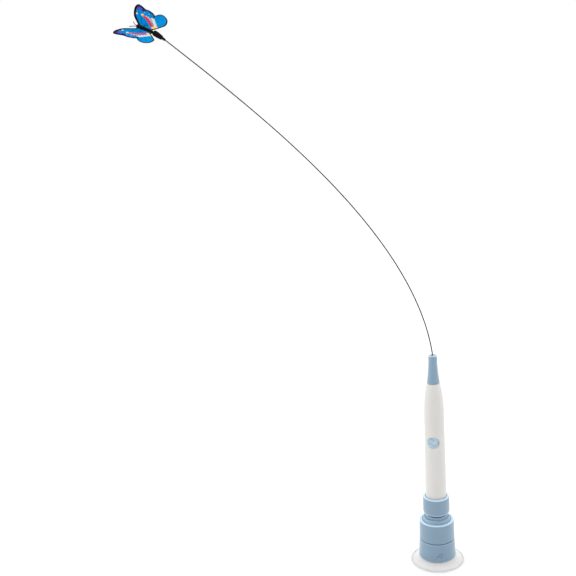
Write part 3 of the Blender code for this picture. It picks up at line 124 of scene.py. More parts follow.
def soft_panel(name, place, aim, size, power):
    """A square area lamp that looks at a point."""
    lamp = bpy.data.lights.new(name, "AREA")
    lamp.shape = "SQUARE"
    lamp.size = size
    lamp.energy = power
    holder = bpy.data.objects.new(name, lamp)
    way = Vector(aim) - Vector(place)
    holder.matrix_world = (Matrix.Translation(place)
                           @ way.to_track_quat("-Z", "Y").to_matrix().to_4x4())
    bpy.context.scene.collection.objects.link(holder)
    return holder


def wide_sun(way, strength, width):
    """A sun as wide as a lamp tent's roof: its light is the same all over the floor."""
    lamp = bpy.data.lights.new("tent_roof", "SUN")
    lamp.energy = strength
    lamp.angle = width
    holder = bpy.data.objects.new("tent_roof", lamp)
    holder.matrix_world = Vector(way).to_track_quat("-Z", "Y").to_matrix().to_4x4()
    bpy.context.scene.collection.objects.link(holder)


def white_room(mean, slope):
    """A world whose light grows evenly along ROOM_WAY: strength = mean + slope times the
    direction's part along it. The camera itself sees plain white behind the floor."""
    world = bpy.data.worlds.new("white_room")
    world.use_nodes = True
    tree = world.node_tree
    part = tree.nodes.new("ShaderNodeVectorMath")
    part.operation = "DOT_PRODUCT"
    part.inputs[1].default_value = ROOM_WAY
    level = tree.nodes.new("ShaderNodeMath")
    level.operation = "MULTIPLY_ADD"
    level.inputs[1].default_value = slope
    level.inputs[2].default_value = mean
    shown = tree.nodes.new("ShaderNodeMix")
    shown.inputs[3].default_value = 1.0
    back = tree.nodes["Background"]
    tree.links.new(tree.nodes.new("ShaderNodeTexCoord").outputs["Generated"], part.inputs[0])
    tree.links.new(part.outputs["Value"], level.inputs[0])
    tree.links.new(level.outputs[0], shown.inputs[2])
    tree.links.new(tree.nodes.new("ShaderNodeLightPath").outputs["Is Camera Ray"],
                   shown.inputs[0])
    tree.links.new(shown.outputs[0], back.inputs["Strength"])
    back.inputs["Color"].default_value = (1.0, 1.0, 1.0, 1.0)
    bpy.context.scene.world = world


stage_floor(FLOOR_SIZE)
white_room(WORLD_MEAN, WORLD_SLOPE)
for name, place, aim_height, size, power in (
        ("panel_right", (1.6, 0.3, 1.0), 0.1, 0.9, 1.5),
        ("panel_left", (-1.5, -0.65, 0.9), 0.2, 1.6, 8.0),
        ("panel_key", (1.36, -0.63, 1.6), 0.15, 0.40, 4.0)):
    soft_panel(name, place, (0.0, 0.0, aim_height), size, power)
wide_sun(SUN_WAY, SUN_STRENGTH, SUN_WIDTH)
bpy.context.scene.view_settings.view_transform = "Standard"
print("lamps:", len(bpy.data.lights))

# %% [markdown]
# ## From arrays to a mesh
# A surface is a grid of points: each row is a ring or a slice, each column runs along the piece.
# The quads between them are found with index arrays, and the points where grids meet are merged
# afterwards, so one piece can be built from several grids. Normals are worked out last, on the
# closed shape, so that they all face outwards.

# %% Surface helper
MERGE = 0.002 * MM


def quads(rows, columns, wrap_rows, wrap_columns):
    """Corner numbers of the quads between neighbouring rows and columns of one grid."""
    number = np.arange(rows * columns).reshape(rows, columns)
    if wrap_rows:
        number = np.vstack([number, number[:1]])
    if wrap_columns:
        number = np.hstack([number, number[:, :1]])
    return np.stack([number[:-1, :-1], number[:-1, 1:], number[1:, 1:], number[1:, :-1]],
                    axis=-1).reshape(-1, 4)


def surface(name, grids, fields=None):
    """A mesh object from grids. Each grid is (points, wrap rows, wrap columns), points in
    millimetres with shape (rows, columns, 3). fields maps an attribute's name to one array of
    values for each grid."""
    points = np.concatenate([grid.reshape(-1, 3) for grid, _, _ in grids]) * MM
    start = 0
    faces = []
    for grid, wrap_rows, wrap_columns in grids:
        rows, columns = grid.shape[:2]
        faces.append(quads(rows, columns, wrap_rows, wrap_columns) + start)
        start += rows * columns
    mesh = bpy.data.meshes.new(name)
    mesh.from_pydata(points.tolist(), [], np.concatenate(faces).tolist())
    for title, parts in (fields or {}).items():
        layer = mesh.attributes.new(title, "FLOAT", "POINT")
        layer.data.foreach_set("value", np.concatenate([part.ravel() for part in parts]))
    shape = bmesh.new()
    shape.from_mesh(mesh)
    bmesh.ops.remove_doubles(shape, verts=shape.verts, dist=MERGE)
    bmesh.ops.dissolve_degenerate(shape, dist=MERGE / 2, edges=shape.edges)
    loose = [edge for edge in shape.edges if not edge.link_faces]
    bmesh.ops.delete(shape, geom=loose, context="EDGES")
    bmesh.ops.recalc_face_normals(shape, faces=shape.faces)
    for face in shape.faces:
        face.smooth = True
    shape.to_mesh(mesh)
    open_edges = sum(1 for edge in shape.edges if len(edge.link_faces) != 2)
    shape.free()
    piece = bpy.data.objects.new(name, mesh)
    bpy.context.scene.collection.objects.link(piece)
    print(f"{name}: {len(mesh.polygons)} faces, {open_edges} open edges")
    return piece


print("quads in a grid of 3 by 4 points:", len(quads(3, 4, False, False)))

# %% [markdown]
# ## Turned pieces
# Nearly every part here is round, so it is a profile turned about an axis. A moulded part has no
# truly sharp corner: each corner of the profile is replaced by a short curve, with one more point
# a little way off on each side, so that smooth shading keeps the flat walls flat. The same step
# notes where an outer corner is, in an attribute called rim, for the rubbed edges later on, which
# are painted lighter: partly wear, partly a painted highlight.

# %% Profiles
STEPS_ROUND = 128
STEPS_LARGE = 160
STEPS_SMALL = 96
CORNER_POINTS = 5
SUPPORT = 1.7
LIP_FADE = 0.3
FRONT = -math.pi / 2


def soften(profile):
    """Rounded copy of a closed profile of (radius, height, cut) rows. Each corner becomes a
    quadratic curve that starts and ends cut away from it. Returns radius, height and rim."""
    rows = np.array([(*row, 0.0)[:3] for row in profile], float)
    spot, cut = rows[:, :2], rows[:, 2]
    before, after = np.roll(spot, 1, 0) - spot, np.roll(spot, -1, 0) - spot
    long_before = np.linalg.norm(before, axis=1)
    long_after = np.linalg.norm(after, axis=1)
    cut = np.minimum(cut, 0.45 * np.minimum(long_before, long_after))
    way_in = before / np.maximum(long_before, 1e-9)[:, None]
    way_out = after / np.maximum(long_after, 1e-9)[:, None]
    share = np.linspace(0.0, 1.0, CORNER_POINTS)
    share = np.concatenate([[-1.0], share, [2.0]])
    inside = np.clip(share, 0.0, 1.0)
    lead = np.where(share < 0, SUPPORT, (1 - inside) ** 2) * (share < 1.5)
    tail = np.where(share > 1.5, SUPPORT, inside ** 2) * (share > -0.5)
    curve = (spot[:, None] + cut[:, None, None]
             * (lead[:, None] * way_in[:, None] + tail[:, None] * way_out[:, None]))
    hump = 4 * inside * (1 - inside)
    cross = way_in[:, 0] * way_out[:, 1] - way_in[:, 1] * way_out[:, 0]
    rim = hump[None, :] * (cut > 0.05)[:, None] * np.abs(cross)[:, None]
    curve, rim = curve.reshape(-1, 2), rim.ravel()
    keep = np.linalg.norm(curve - np.roll(curve, 1, 0), axis=1) > 0.004
    return curve[keep, 0], curve[keep, 1], rim[keep]


def angles_round(steps=STEPS_ROUND):
    """Even steps once round, starting at the toy's front."""
    return FRONT + 2 * math.pi * np.arange(steps) / steps


def revolve(radius, height, angles, spin=None):
    """Grid of a profile turned about Z, or about the third column of spin, a (origin, 3x3
    directions) pair: point = origin + radius cos a side + radius sin a other + height axis."""
    flat = np.stack([radius[:, None] * np.cos(angles), radius[:, None] * np.sin(angles),
                     np.broadcast_to(height[:, None], (len(radius), len(angles)))], axis=-1)
    if spin is None:
        return flat
    origin, directions = spin
    return origin + flat @ directions


def turned(name, profile, steps=STEPS_ROUND, spin=None, more=(), dark=None, lips=()):
    """A closed profile, softened and turned. more adds other closed grids to the piece. dark
    gives from radius and height how deep in a groove a point lies, kept as an attribute from
    which the finish paints shade into the groove. Each of lips, a (radius, height, share), makes
    what lies outside and above it rim, to that share, so the finish paints it lighter as a
    highlight."""
    radius, height, rim = soften(profile)
    radius = np.maximum(radius, 0.0)
    for inside, below, share in lips:
        above = np.clip((height - below) / LIP_FADE, 0.0, 1.0)
        rim = np.maximum(rim, share * above * (radius > inside))
    grid = revolve(radius, height, angles_round(steps), spin)
    grids = [(grid, True, True), *more]
    rims = [np.broadcast_to(rim[:, None], grid.shape[:2])]
    rims += [np.zeros(extra.shape[:2]) for extra, _, _ in more]
    fields = {"rim": rims}
    if dark is not None:
        fields["pit_shade"] = [np.broadcast_to(dark(radius, height)[:, None], grid.shape[:2])]
    return surface(name, grids, fields)


square = [(1.0, 0.0, 0.1), (2.0, 0.0, 0.1), (2.0, 1.0, 0.1), (1.0, 1.0, 0.1)]
print("a softened square has", len(soften(square)[0]), "points")

# %% [markdown]
# Two more helpers. Sweeping a slice needs its ends closed, which a row that shrinks to the
# slice's middle does. A smooth line through a few points is used for the bead, the body and the
# wing's outline, so a dozen points give a flowing curve.

# %% Closed ends and flowing lines
def capped(grid):
    """The grid with one more row at each end, shrunk to the middle of the row next to it."""
    first = np.broadcast_to(grid[:1].mean(axis=1, keepdims=True), grid[:1].shape)
    last = np.broadcast_to(grid[-1:].mean(axis=1, keepdims=True), grid[-1:].shape)
    return np.concatenate([first, grid, last])


def flow(points, steps):
    """Catmull-Rom line through points: each span is a cubic whose slope at a point is half the
    step from the point before it to the point after it. One more point is made up beyond each
    end, in line with the last two."""
    rows = np.asarray(points, float)
    rows = np.vstack([2 * rows[:1] - rows[1:2], rows, 2 * rows[-1:] - rows[-2:-1]])
    t = (np.arange(steps) / steps)[None, :, None]
    a, b, c, d = (rows[k:len(rows) - 3 + k, None, :] for k in range(4))
    line = 0.5 * (2 * b + (c - a) * t + (2 * a - 5 * b + 4 * c - d) * t ** 2
                  + (3 * b - a - 3 * c + d) * t ** 3)
    return np.vstack([line.reshape(-1, rows.shape[1]), rows[-2:-1]])


BALL_HEIGHT = 64.5


def shell_arc(radius, start, end, count):
    """Profile points on a sphere round the ball's centre, by degrees from straight down."""
    angle = np.radians(np.linspace(start, end, count))
    return [(radius * s, BALL_HEIGHT - radius * c) for s, c in zip(np.sin(angle), np.cos(angle))]


print("a flowing line through 4 points has", len(flow([(0, 0), (1, 1), (2, 0), (3, 1)], 8)))

# %% [markdown]
# ## Shared effects
# Moulded plastic is never one flat colour: it drifts a little over centimetres, has a fine grain
# from the mould's face, duller and shinier patches from hands, and edges that are rubbed
# brighter, which also paints a highlight on them. Each effect is a node group, made once, and
# every material places it with its own numbers. The groups only hand out colours, masks and
# heights; the shader stays in the material.

# %% Node helpers
def add(tree, kind, sockets=None, **settings):
    """A node with its settings, and its sockets set to a value or linked to another socket."""
    node = tree.nodes.new(kind)
    for title, value in settings.items():
        setattr(node, title, value)
    for title, value in (sockets or {}).items():
        if isinstance(value, bpy.types.NodeSocket):
            tree.links.new(value, node.inputs[title])
        else:
            node.inputs[title].default_value = value
    return node


def effect(name, takes, gives):
    """An empty node group with named inputs and outputs, and its two end nodes."""
    tree = bpy.data.node_groups.new(name, "ShaderNodeTree")
    for title, value in takes.items():
        kind = "NodeSocketFloat" if isinstance(value, float) else "NodeSocketColor"
        socket = tree.interface.new_socket(name=title, in_out="INPUT", socket_type=kind)
        socket.default_value = value
    for title, kind in gives.items():
        tree.interface.new_socket(name=title, in_out="OUTPUT", socket_type="NodeSocket" + kind)
    return tree, tree.nodes.new("NodeGroupInput").outputs, tree.nodes.new("NodeGroupOutput")


def math_node(tree, operation, *values):
    """Output of a Math node; values are numbers or sockets."""
    return add(tree, "ShaderNodeMath", dict(enumerate(values)), operation=operation).outputs[0]


def place_effect(tree, group, **values):
    """A group node in a material, with its own values. An underscore stands for a space."""
    node = tree.nodes.new("ShaderNodeGroup")
    node.node_tree = group
    for title, value in values.items():
        title = title.replace("_", " ")
        if isinstance(value, bpy.types.NodeSocket):
            tree.links.new(value, node.inputs[title])
        else:
            node.inputs[title].default_value = value
    return node.outputs


print("node groups so far:", len(bpy.data.node_groups))

# %% The moulded skin
BROAD_SCALE = 38.0


def make_moulded_skin():
    """Tone times (1 + drift x broad noise + grain x fine noise), and the same noises as
    roughness and height."""
    tree, takes, end = effect(
        "moulded skin",
        {"Tone": (0.5, 0.5, 0.5, 1.0), "Drift": 0.03, "Grain": 0.04, "Grain size": 1400.0,
         "Dullness": 0.45},
        {"Color": "Color", "Roughness": "Float", "Height": "Float"})
    place = tree.nodes.new("ShaderNodeTexCoord").outputs["Object"]
    broad = add(tree, "ShaderNodeTexNoise", {"Vector": place, "Scale": BROAD_SCALE, "Detail": 2.0})
    fine = add(tree, "ShaderNodeTexNoise",
               {"Vector": place, "Scale": takes["Grain size"], "Detail": 2.0})
    broad_part = math_node(tree, "SUBTRACT", broad.outputs[0], 0.5)
    fine_part = math_node(tree, "SUBTRACT", fine.outputs[0], 0.5)
    drift = math_node(tree, "MULTIPLY", broad_part, takes["Drift"])
    grain = math_node(tree, "MULTIPLY", fine_part, takes["Grain"])
    share = math_node(tree, "ADD", math_node(tree, "ADD", drift, grain), 1.0)
    tone = add(tree, "ShaderNodeVectorMath", {0: takes["Tone"], "Scale": share},
               operation="SCALE")
    tree.links.new(tone.outputs[0], end.inputs["Color"])
    rough = math_node(tree, "MULTIPLY_ADD", broad_part, 0.16, takes["Dullness"])
    rough = math_node(tree, "MULTIPLY_ADD", fine_part, 0.14, rough)
    tree.links.new(rough, end.inputs["Roughness"])
    tree.links.new(fine.outputs[0], end.inputs["Height"])
    return tree


SKIN = make_moulded_skin()
print("group:", SKIN.name)

# %% Hand marks and rubbed edges
def make_hand_marks():
    """A mask of soft smudges: a warped noise, kept only above a threshold."""
    tree, takes, end = effect("hand marks", {"Size": 70.0, "Cover": 0.5}, {"Mask": "Float"})
    place = tree.nodes.new("ShaderNodeTexCoord").outputs["Object"]
    smudge = add(tree, "ShaderNodeTexNoise",
                 {"Vector": place, "Scale": takes["Size"], "Detail": 5.0, "Distortion": 1.4})
    low = math_node(tree, "SUBTRACT", 1.0, takes["Cover"])
    high = math_node(tree, "ADD", low, 0.22)
    mask = add(tree, "ShaderNodeMapRange", {"Value": smudge.outputs[0], "From Min": low,
                                            "From Max": high}, interpolation_type="SMOOTHSTEP")
    tree.links.new(mask.outputs[0], end.inputs["Mask"])
    return tree


def make_edge_rub_and_highlight():
    """A mask of rubbed edges and their painted highlight: the rim attribute, broken up by noise."""
    tree, takes, end = effect("edge rub and highlight", {"Strength": 0.6, "Break": 500.0}, {"Mask": "Float"})
    place = tree.nodes.new("ShaderNodeTexCoord").outputs["Object"]
    rim = add(tree, "ShaderNodeAttribute", attribute_name="rim").outputs["Fac"]
    chips = add(tree, "ShaderNodeTexNoise",
                {"Vector": place, "Scale": takes["Break"], "Detail": 4.0})
    broken = math_node(tree, "MULTIPLY_ADD", chips.outputs[0], 0.9, 0.35)
    mask = math_node(tree, "MULTIPLY", math_node(tree, "MULTIPLY", rim, broken),
                     takes["Strength"])
    tree.links.new(mask, end.inputs["Mask"])
    return tree


MARKS = make_hand_marks()
RUB_AND_HIGHLIGHT = make_edge_rub_and_highlight()
print("groups:", MARKS.name, "and", RUB_AND_HIGHLIGHT.name)

# %% Drawn metal
def make_drawn_metal():
    """Tone, roughness and height of drawn or turned metal: noise stretched along Z."""
    tree, takes, end = effect(
        "drawn metal", {"Tone": (0.5, 0.5, 0.5, 1.0), "Dullness": 0.3, "Scratch": 0.2},
        {"Color": "Color", "Roughness": "Float", "Height": "Float"})
    place = tree.nodes.new("ShaderNodeTexCoord").outputs["Object"]
    stretch = add(tree, "ShaderNodeVectorMath", {0: place, 1: (1.0, 1.0, 0.06)},
                  operation="MULTIPLY")
    lines = add(tree, "ShaderNodeTexNoise",
                {"Vector": stretch.outputs[0], "Scale": 4200.0, "Detail": 3.0})
    part = math_node(tree, "SUBTRACT", lines.outputs[0], 0.5)
    share = math_node(tree, "MULTIPLY_ADD", part, takes["Scratch"], 1.0)
    tone = add(tree, "ShaderNodeVectorMath", {0: takes["Tone"], "Scale": share},
               operation="SCALE")
    tree.links.new(tone.outputs[0], end.inputs["Color"])
    tree.links.new(math_node(tree, "MULTIPLY_ADD", part, 0.3, takes["Dullness"]),
                   end.inputs["Roughness"])
    tree.links.new(lines.outputs[0], end.inputs["Height"])
    return tree


METAL = make_drawn_metal()
print("group:", METAL.name)

# %% [markdown]
# ## Finishes
# Colours are set in linear light. The blue is a greyish ABS, the handle a warm white one, and
# both have the faintly grained face that comes out of a spark-eroded mould. The white is matt.
# The blue has a clear, slightly rough coat over it, which gives its wide soft shine. Its gaps
# and dimples look a deep blue, not grey, so the shade painted into what a piece marks as a pit
# takes that colour.

# %% Moulded plastics
# Painted shade: gaps, seams, dimples and the groove under the cup are painted towards this blue.
GAP_SHADE_BLUE = (0.012, 0.020, 0.240, 1.0)
GAP_SHADE_SHARE = 0.92


def new_paint(name, **sockets):
    """A material with its Principled shader's constants set. Returns both and the node tree."""
    paint = bpy.data.materials.new(name)
    paint.use_nodes = True
    shader = paint.node_tree.nodes["Principled BSDF"]
    for title, value in sockets.items():
        shader.inputs[title.replace("_", " ")].default_value = value
    return paint, shader, paint.node_tree


def bump(tree, shader, height, strength, distance):
    """Feed a height through a Bump node to the shader's normal. distance is in metres."""
    node = add(tree, "ShaderNodeBump",
               {"Height": height, "Strength": strength, "Distance": distance})
    tree.links.new(node.outputs[0], shader.inputs["Normal"])


def moulded(name, tone, rubbed_and_highlit, dullness=0.42, grain=0.05, grain_size=1500.0, bump_depth=0.00004,
            shine=0.5, gloss=0.0, rub_and_highlight=0.55):
    """Moulded plastic: skin, hand marks that polish it, edges rubbed to a second, lighter tone that
    is partly wear and partly a painted highlight, and pits painted with the blue of painted shade.
    gloss is the clear coat's weight."""
    paint, shader, tree = new_paint(name, Specular_IOR_Level=shine, Coat_Weight=gloss,
                                    Coat_Roughness=0.32)
    skin = place_effect(tree, SKIN, Tone=(*tone, 1.0), Drift=0.035, Grain=grain,
                        Grain_size=grain_size, Dullness=dullness)
    worn_and_highlit = place_effect(tree, RUB_AND_HIGHLIGHT, Strength=rub_and_highlight)["Mask"]
    marks = place_effect(tree, MARKS, Size=65.0, Cover=0.42)["Mask"]
    # Rubbed edges and rim tops take the lighter tone: partly wear, partly a painted highlight.
    colour = add(tree, "ShaderNodeMix", {"Factor": worn_and_highlit, 6: skin["Color"], 7: (*rubbed_and_highlit, 1.0)},
                 data_type="RGBA")
    # Painted shade: where a piece marks a pit, the colour is mixed towards the shade blue.
    pit_shade = add(tree, "ShaderNodeAttribute", attribute_name="pit_shade").outputs["Fac"]
    deep = math_node(tree, "MULTIPLY", pit_shade, GAP_SHADE_SHARE)
    colour = add(tree, "ShaderNodeMix", {"Factor": deep, 6: colour.outputs[2], 7: GAP_SHADE_BLUE},
                 data_type="RGBA")
    tree.links.new(colour.outputs[2], shader.inputs["Base Color"])
    rough = math_node(tree, "MULTIPLY_ADD", marks, -0.07, skin["Roughness"])
    rough = math_node(tree, "MULTIPLY_ADD", worn_and_highlit, -0.30, rough)
    tree.links.new(rough, shader.inputs["Roughness"])
    bump(tree, shader, skin["Height"], 0.35, bump_depth)
    return paint


# The lighter blue of rubbed edges and rim tops: partly wear, partly a painted highlight.
RUBBED_HIGHLIGHT_BLUE = (0.58, 0.74, 0.88)
BLUE = moulded("blue_moulding", (0.180, 0.290, 0.392), RUBBED_HIGHLIGHT_BLUE, gloss=0.6, rub_and_highlight=0.9)
WHITE = moulded("white_moulding", (0.670, 0.660, 0.635), (0.78, 0.775, 0.76), dullness=0.56,
                shine=0.15)
# Painted light: the nose is the same blue made a little lighter.
NOSE_BLUE_PAINTED_LIGHT = moulded("nose_moulding_painted_light", (0.195, 0.312, 0.420), RUBBED_HIGHLIGHT_BLUE, gloss=0.7, rub_and_highlight=0.9)
BUTTON_BLUE = moulded("button_moulding", (0.37, 0.50, 0.60), (0.50, 0.64, 0.75), dullness=0.5,
                      grain=1.3, grain_size=400.0, bump_depth=0.00025)
NYLON = moulded("natural_nylon", (0.72, 0.71, 0.66), (0.80, 0.79, 0.75), dullness=0.5)
# Painted light: the liner's nylon is made light blue so that its edge reads like the lit dome.
NYLON_PAINTED_LIGHT_BLUE = moulded("nylon_painted_light", (0.42, 0.58, 0.70), (0.48, 0.64, 0.76), dullness=0.5)
print("moulded finishes: 6")

# %% [markdown]
# The pad is soft clear vinyl. It lets some light through to the white surface and scatters the
# rest, so it reads as a pale milky disc with darker rings where it bends. Faint streaks run out
# from its middle, where the vinyl flowed in its mould: noise read on the direction from the
# axis, which is the same all along a radius.

# %% Clear vinyl
def make_vinyl():
    """Principled with some transmission; tone, roughness and bump follow the radial streaks."""
    paint, shader, tree = new_paint("clear_vinyl", Transmission_Weight=0.25, IOR=1.45)
    skin = place_effect(tree, SKIN, Tone=(0.75, 0.75, 0.74, 1.0), Drift=0.03, Grain=0.03,
                        Grain_size=900.0, Dullness=0.26)
    place = tree.nodes.new("ShaderNodeTexCoord").outputs["Object"]
    flat = add(tree, "ShaderNodeVectorMath", {0: place, 1: (1.0, 1.0, 0.0)},
               operation="MULTIPLY")
    spoke = add(tree, "ShaderNodeVectorMath", {0: flat.outputs[0]}, operation="NORMALIZE")
    streak = add(tree, "ShaderNodeTexNoise",
                 {"Vector": spoke.outputs[0], "Scale": 9.0, "Detail": 3.0}).outputs[0]
    share = math_node(tree, "MULTIPLY_ADD", math_node(tree, "SUBTRACT", streak, 0.5), 0.14, 1.0)
    tone = add(tree, "ShaderNodeVectorMath", {0: skin["Color"], "Scale": share},
               operation="SCALE")
    tree.links.new(tone.outputs[0], shader.inputs["Base Color"])
    tree.links.new(math_node(tree, "MULTIPLY_ADD", streak, 0.14, skin["Roughness"]),
                   shader.inputs["Roughness"])
    bump(tree, shader, streak, 0.25, 0.0004)
    return paint


VINYL = make_vinyl()
print("finish:", VINYL.name)

# %% [markdown]
# The metals share the drawn-metal group. The wire is darker than bare steel: against the white
# it reads as near black with greyer dashes, so its metal is oiled and only part metallic. Its
# strands come from its mesh, and the material only paints shade into the grooves between them,
# with an attribute that the mesh carries.

# %% Metals
def metal(name, tone, dullness, scratch=0.25):
    """A bare metal: tone, roughness and bump all from the drawn-metal group."""
    paint, shader, tree = new_paint(name, Metallic=1.0)
    drawn = place_effect(tree, METAL, Tone=(*tone, 1.0), Dullness=dullness, Scratch=scratch)
    tree.links.new(drawn["Color"], shader.inputs["Base Color"])
    tree.links.new(drawn["Roughness"], shader.inputs["Roughness"])
    bump(tree, shader, drawn["Height"], 0.2, 0.00002)
    return paint


OILED_STEEL = (0.022, 0.021, 0.021, 1.0)
GROOVE_SHADE_BLACK = (0.012, 0.012, 0.012, 1.0)


def make_rope_steel():
    """Steel with painted shade: its tone falls in the grooves between the strands."""
    paint, shader, tree = new_paint("rope_steel", Metallic=0.3, Specular_IOR_Level=0.12)
    drawn = place_effect(tree, METAL, Tone=OILED_STEEL, Dullness=0.5, Scratch=0.3)
    # Painted shade in the grooves between the strands.
    groove_shade = add(tree, "ShaderNodeAttribute", attribute_name="groove_shade").outputs["Fac"]
    tone = add(tree, "ShaderNodeMix", {"Factor": groove_shade, 6: drawn["Color"], 7: GROOVE_SHADE_BLACK},
               data_type="RGBA")
    tree.links.new(tone.outputs[2], shader.inputs["Base Color"])
    tree.links.new(drawn["Roughness"], shader.inputs["Roughness"])
    bump(tree, shader, drawn["Height"], 0.2, 0.00002)
    return paint


STEEL = metal("plain_steel", (0.56, 0.56, 0.57), 0.28)
BRASS = metal("turned_brass", (0.71, 0.50, 0.22), 0.30)
ROPE_STEEL = make_rope_steel()
print("metals: 3")

# %% [markdown]
# The butterfly's body and the bead behind it are dull black, with a short flock that breaks up
# the light. The sleeve is smoother black rubber.

# %% Blacks
def make_black(name, tone, dullness, depth):
    """Black with hardly any shine, and a bump from the skin's fine noise, depth metres deep."""
    paint, shader, tree = new_paint(name, Specular_IOR_Level=0.08)
    skin = place_effect(tree, SKIN, Tone=(*tone, 1.0), Drift=0.5, Grain=0.8, Grain_size=2600.0,
                        Dullness=dullness)
    tree.links.new(skin["Color"], shader.inputs["Base Color"])
    tree.links.new(skin["Roughness"], shader.inputs["Roughness"])
    bump(tree, shader, skin["Height"], 0.6, depth)
    return paint


FLOCK = make_black("black_flock", (0.0050, 0.0045, 0.0055), 0.75, 0.0003)
RUBBER = make_black("black_rubber", (0.006, 0.0055, 0.006), 0.5, 0.00006)
print("blacks: 2")

# %% [markdown]
# The wings are thin film printed on both sides. The print is worked out with numpy when the wing
# is made and stored on its points as a colour. The black margin has to be crisper than the
# points allow, so the wing also stores how far each point is from the edge, and the material
# draws the margin from that. In the photograph the print keeps its full colour and nothing
# glares on it, so the film's specular level is nil.

# %% Printed film
MARGIN_BLACK = (0.0065, 0.0060, 0.0075, 1.0)
MARGIN_OUT, MARGIN_IN = 1.75, 1.95


def make_film():
    """The stored print, and over it a black margin: where the stored edge distance plus a
    ragged noise is under MARGIN_OUT it is full, and from MARGIN_IN on there is none. Faint
    creases come from the skin."""
    paint, shader, tree = new_paint("printed_film", Specular_IOR_Level=0.0)
    printed = add(tree, "ShaderNodeAttribute", attribute_name="print").outputs["Color"]
    edge = add(tree, "ShaderNodeAttribute", attribute_name="margin").outputs["Fac"]
    place = tree.nodes.new("ShaderNodeTexCoord").outputs["Object"]
    ragged = add(tree, "ShaderNodeTexNoise", {"Vector": place, "Scale": 420.0, "Detail": 3.0})
    far = math_node(tree, "MULTIPLY_ADD", ragged.outputs[0], 0.7, edge)
    margin = add(tree, "ShaderNodeMapRange", {"Value": far, "From Min": MARGIN_IN,
                                              "From Max": MARGIN_OUT, "To Min": 0.0,
                                              "To Max": 1.0})
    colour = add(tree, "ShaderNodeMix", {"Factor": margin.outputs[0], 6: printed,
                                         7: MARGIN_BLACK}, data_type="RGBA")
    skin = place_effect(tree, SKIN, Drift=0.08, Grain=0.10, Grain_size=1100.0, Dullness=0.42,
                        Tone=colour.outputs[2])
    tree.links.new(skin["Color"], shader.inputs["Base Color"])
    tree.links.new(skin["Roughness"], shader.inputs["Roughness"])
    bump(tree, shader, skin["Height"], 0.25, 0.00005)
    return paint


FILM = make_film()
print("finish:", FILM.name)

# %% [markdown]
# Inside the handle, where no camera looks, the solids stay as they are and only get a finish: a
# green board with faint tracks, and a cell in its shrink wrap.

# %% Board and cell
def make_board():
    """Solder mask whose tone shows a grid of tracks below it."""
    paint, shader, tree = new_paint("solder_mask", Coat_Weight=0.3)
    place = tree.nodes.new("ShaderNodeTexCoord").outputs["Object"]
    tracks = add(tree, "ShaderNodeTexBrick",
                 {"Vector": place, "Color1": (0.02, 0.17, 0.07, 1), "Color2": (0.03, 0.21, 0.09, 1),
                  "Mortar": (0.06, 0.33, 0.14, 1), "Scale": 260.0, "Mortar Size": 0.03})
    skin = place_effect(tree, SKIN, Tone=tracks.outputs["Color"], Grain=0.1, Dullness=0.35)
    tree.links.new(skin["Color"], shader.inputs["Base Color"])
    tree.links.new(skin["Roughness"], shader.inputs["Roughness"])
    return paint


BOARD = make_board()
CELL = moulded("cell_wrap", (0.09, 0.27, 0.42), (0.25, 0.42, 0.55), dullness=0.28)
print("inner finishes: 2")

# %% [markdown]
# ## Dressing a body
# Each new piece takes its material and rides on a body of the frame, and the solid that it
# stands for is hidden.

# %% Dress a piece
def dress(piece, paint, body, node):
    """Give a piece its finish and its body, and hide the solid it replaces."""
    piece.data.materials.clear()
    piece.data.materials.append(paint)
    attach(piece, body)
    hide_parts(node)
    return piece


print("solids to stand in for or to finish:", len(NODES))

# %% [markdown]
# ## Suction pad
# A disc of soft vinyl. Its top falls from the seat of the base ring in a curve that steepens
# inwards: the height above the edge is (1 - s) to the power 2.1 of the whole fall, where s is
# the share of the way out. A low bead follows, and outside it the rim thins down to the
# surface. The pocket in the middle holds the stud's head, tall enough for the stud's stroke.

# %% Suction pad
PAD_SEAT = 7.4
PAD_EDGE = 1.1
PAD_STROKE = 2.5
PAD_FALL_FROM, PAD_FALL_WIDTH = 22.6, 10.4
share = np.linspace(0.0, 1.0, 26)[1:]
flare = [(PAD_FALL_FROM + PAD_FALL_WIDTH * s,
          PAD_EDGE + (PAD_SEAT - PAD_EDGE) * (1 - s) ** 2.1) for s in share]
pad = turned("vinyl_pad", [
    (0.0, 3.2), (6.9, 3.2, 0.2), (6.9, 5.5 + PAD_STROKE, 0.2), (4.1, 5.5 + PAD_STROKE, 0.2),
    (4.1, 12.5, 0.3), (8.5, 12.5, 0.7), (8.5, PAD_SEAT, 0.9), (PAD_FALL_FROM, PAD_SEAT, 0.35),
    *flare, (33.3, 1.6, 0.25), (33.9, 1.3, 0.5), (35.0, 0.0, 0.05), (29.0, 0.0, 0.3),
    (27.8, 1.2, 0.4), (12.2, 1.2, 0.4), (11.0, 0.0, 0.3), (0.0, 0.0)], STEPS_LARGE)
dress(pad, VINYL, "base", "suction_cup")

# %% [markdown]
# ## Base ring
# The lower blue ring has a slightly tapered wall, a rounded foot, and inside it a floor, a guide
# tube for the stud and a lip for the collar's skirt. Five small dimples on its front are real
# dents in the wall. They are far smaller than an even step round the ring, so the grid has extra
# rows and columns just there, and each dimple pushes the wall in by a smooth cup shape. The same
# push opens the seam to the collar a little, and both are marked as pits, where the finish
# paints shade.

# %% Base ring with dimples
# Azimuth from the front towards the right in degrees, and height in millimetres
DIMPLES = ((18.1, 20.0), (24.6, 18.4), (14.4, 16.8), (8.3, 15.3), (21.3, 15.3))
DIMPLE_RADIUS = 0.78
DIMPLE_DEPTH = 0.8
DIMPLE_WALL = 23.3
DIMPLE_SPAN = (5.5, 27.6)
DIMPLE_LEVELS = (21.2, 14.1)
SEAM_HEIGHT = 33.1
GUIDE_BORE, GUIDE_RADIUS = 4.1, 6.3
SLOT_HALF = 1.7


def wall_radius(height):
    """The ring's outer radius: it tapers evenly from 23.7 at its foot to 22.7 at the seam."""
    return 23.7 - (height - 8.6) / (32.7 - 8.6)


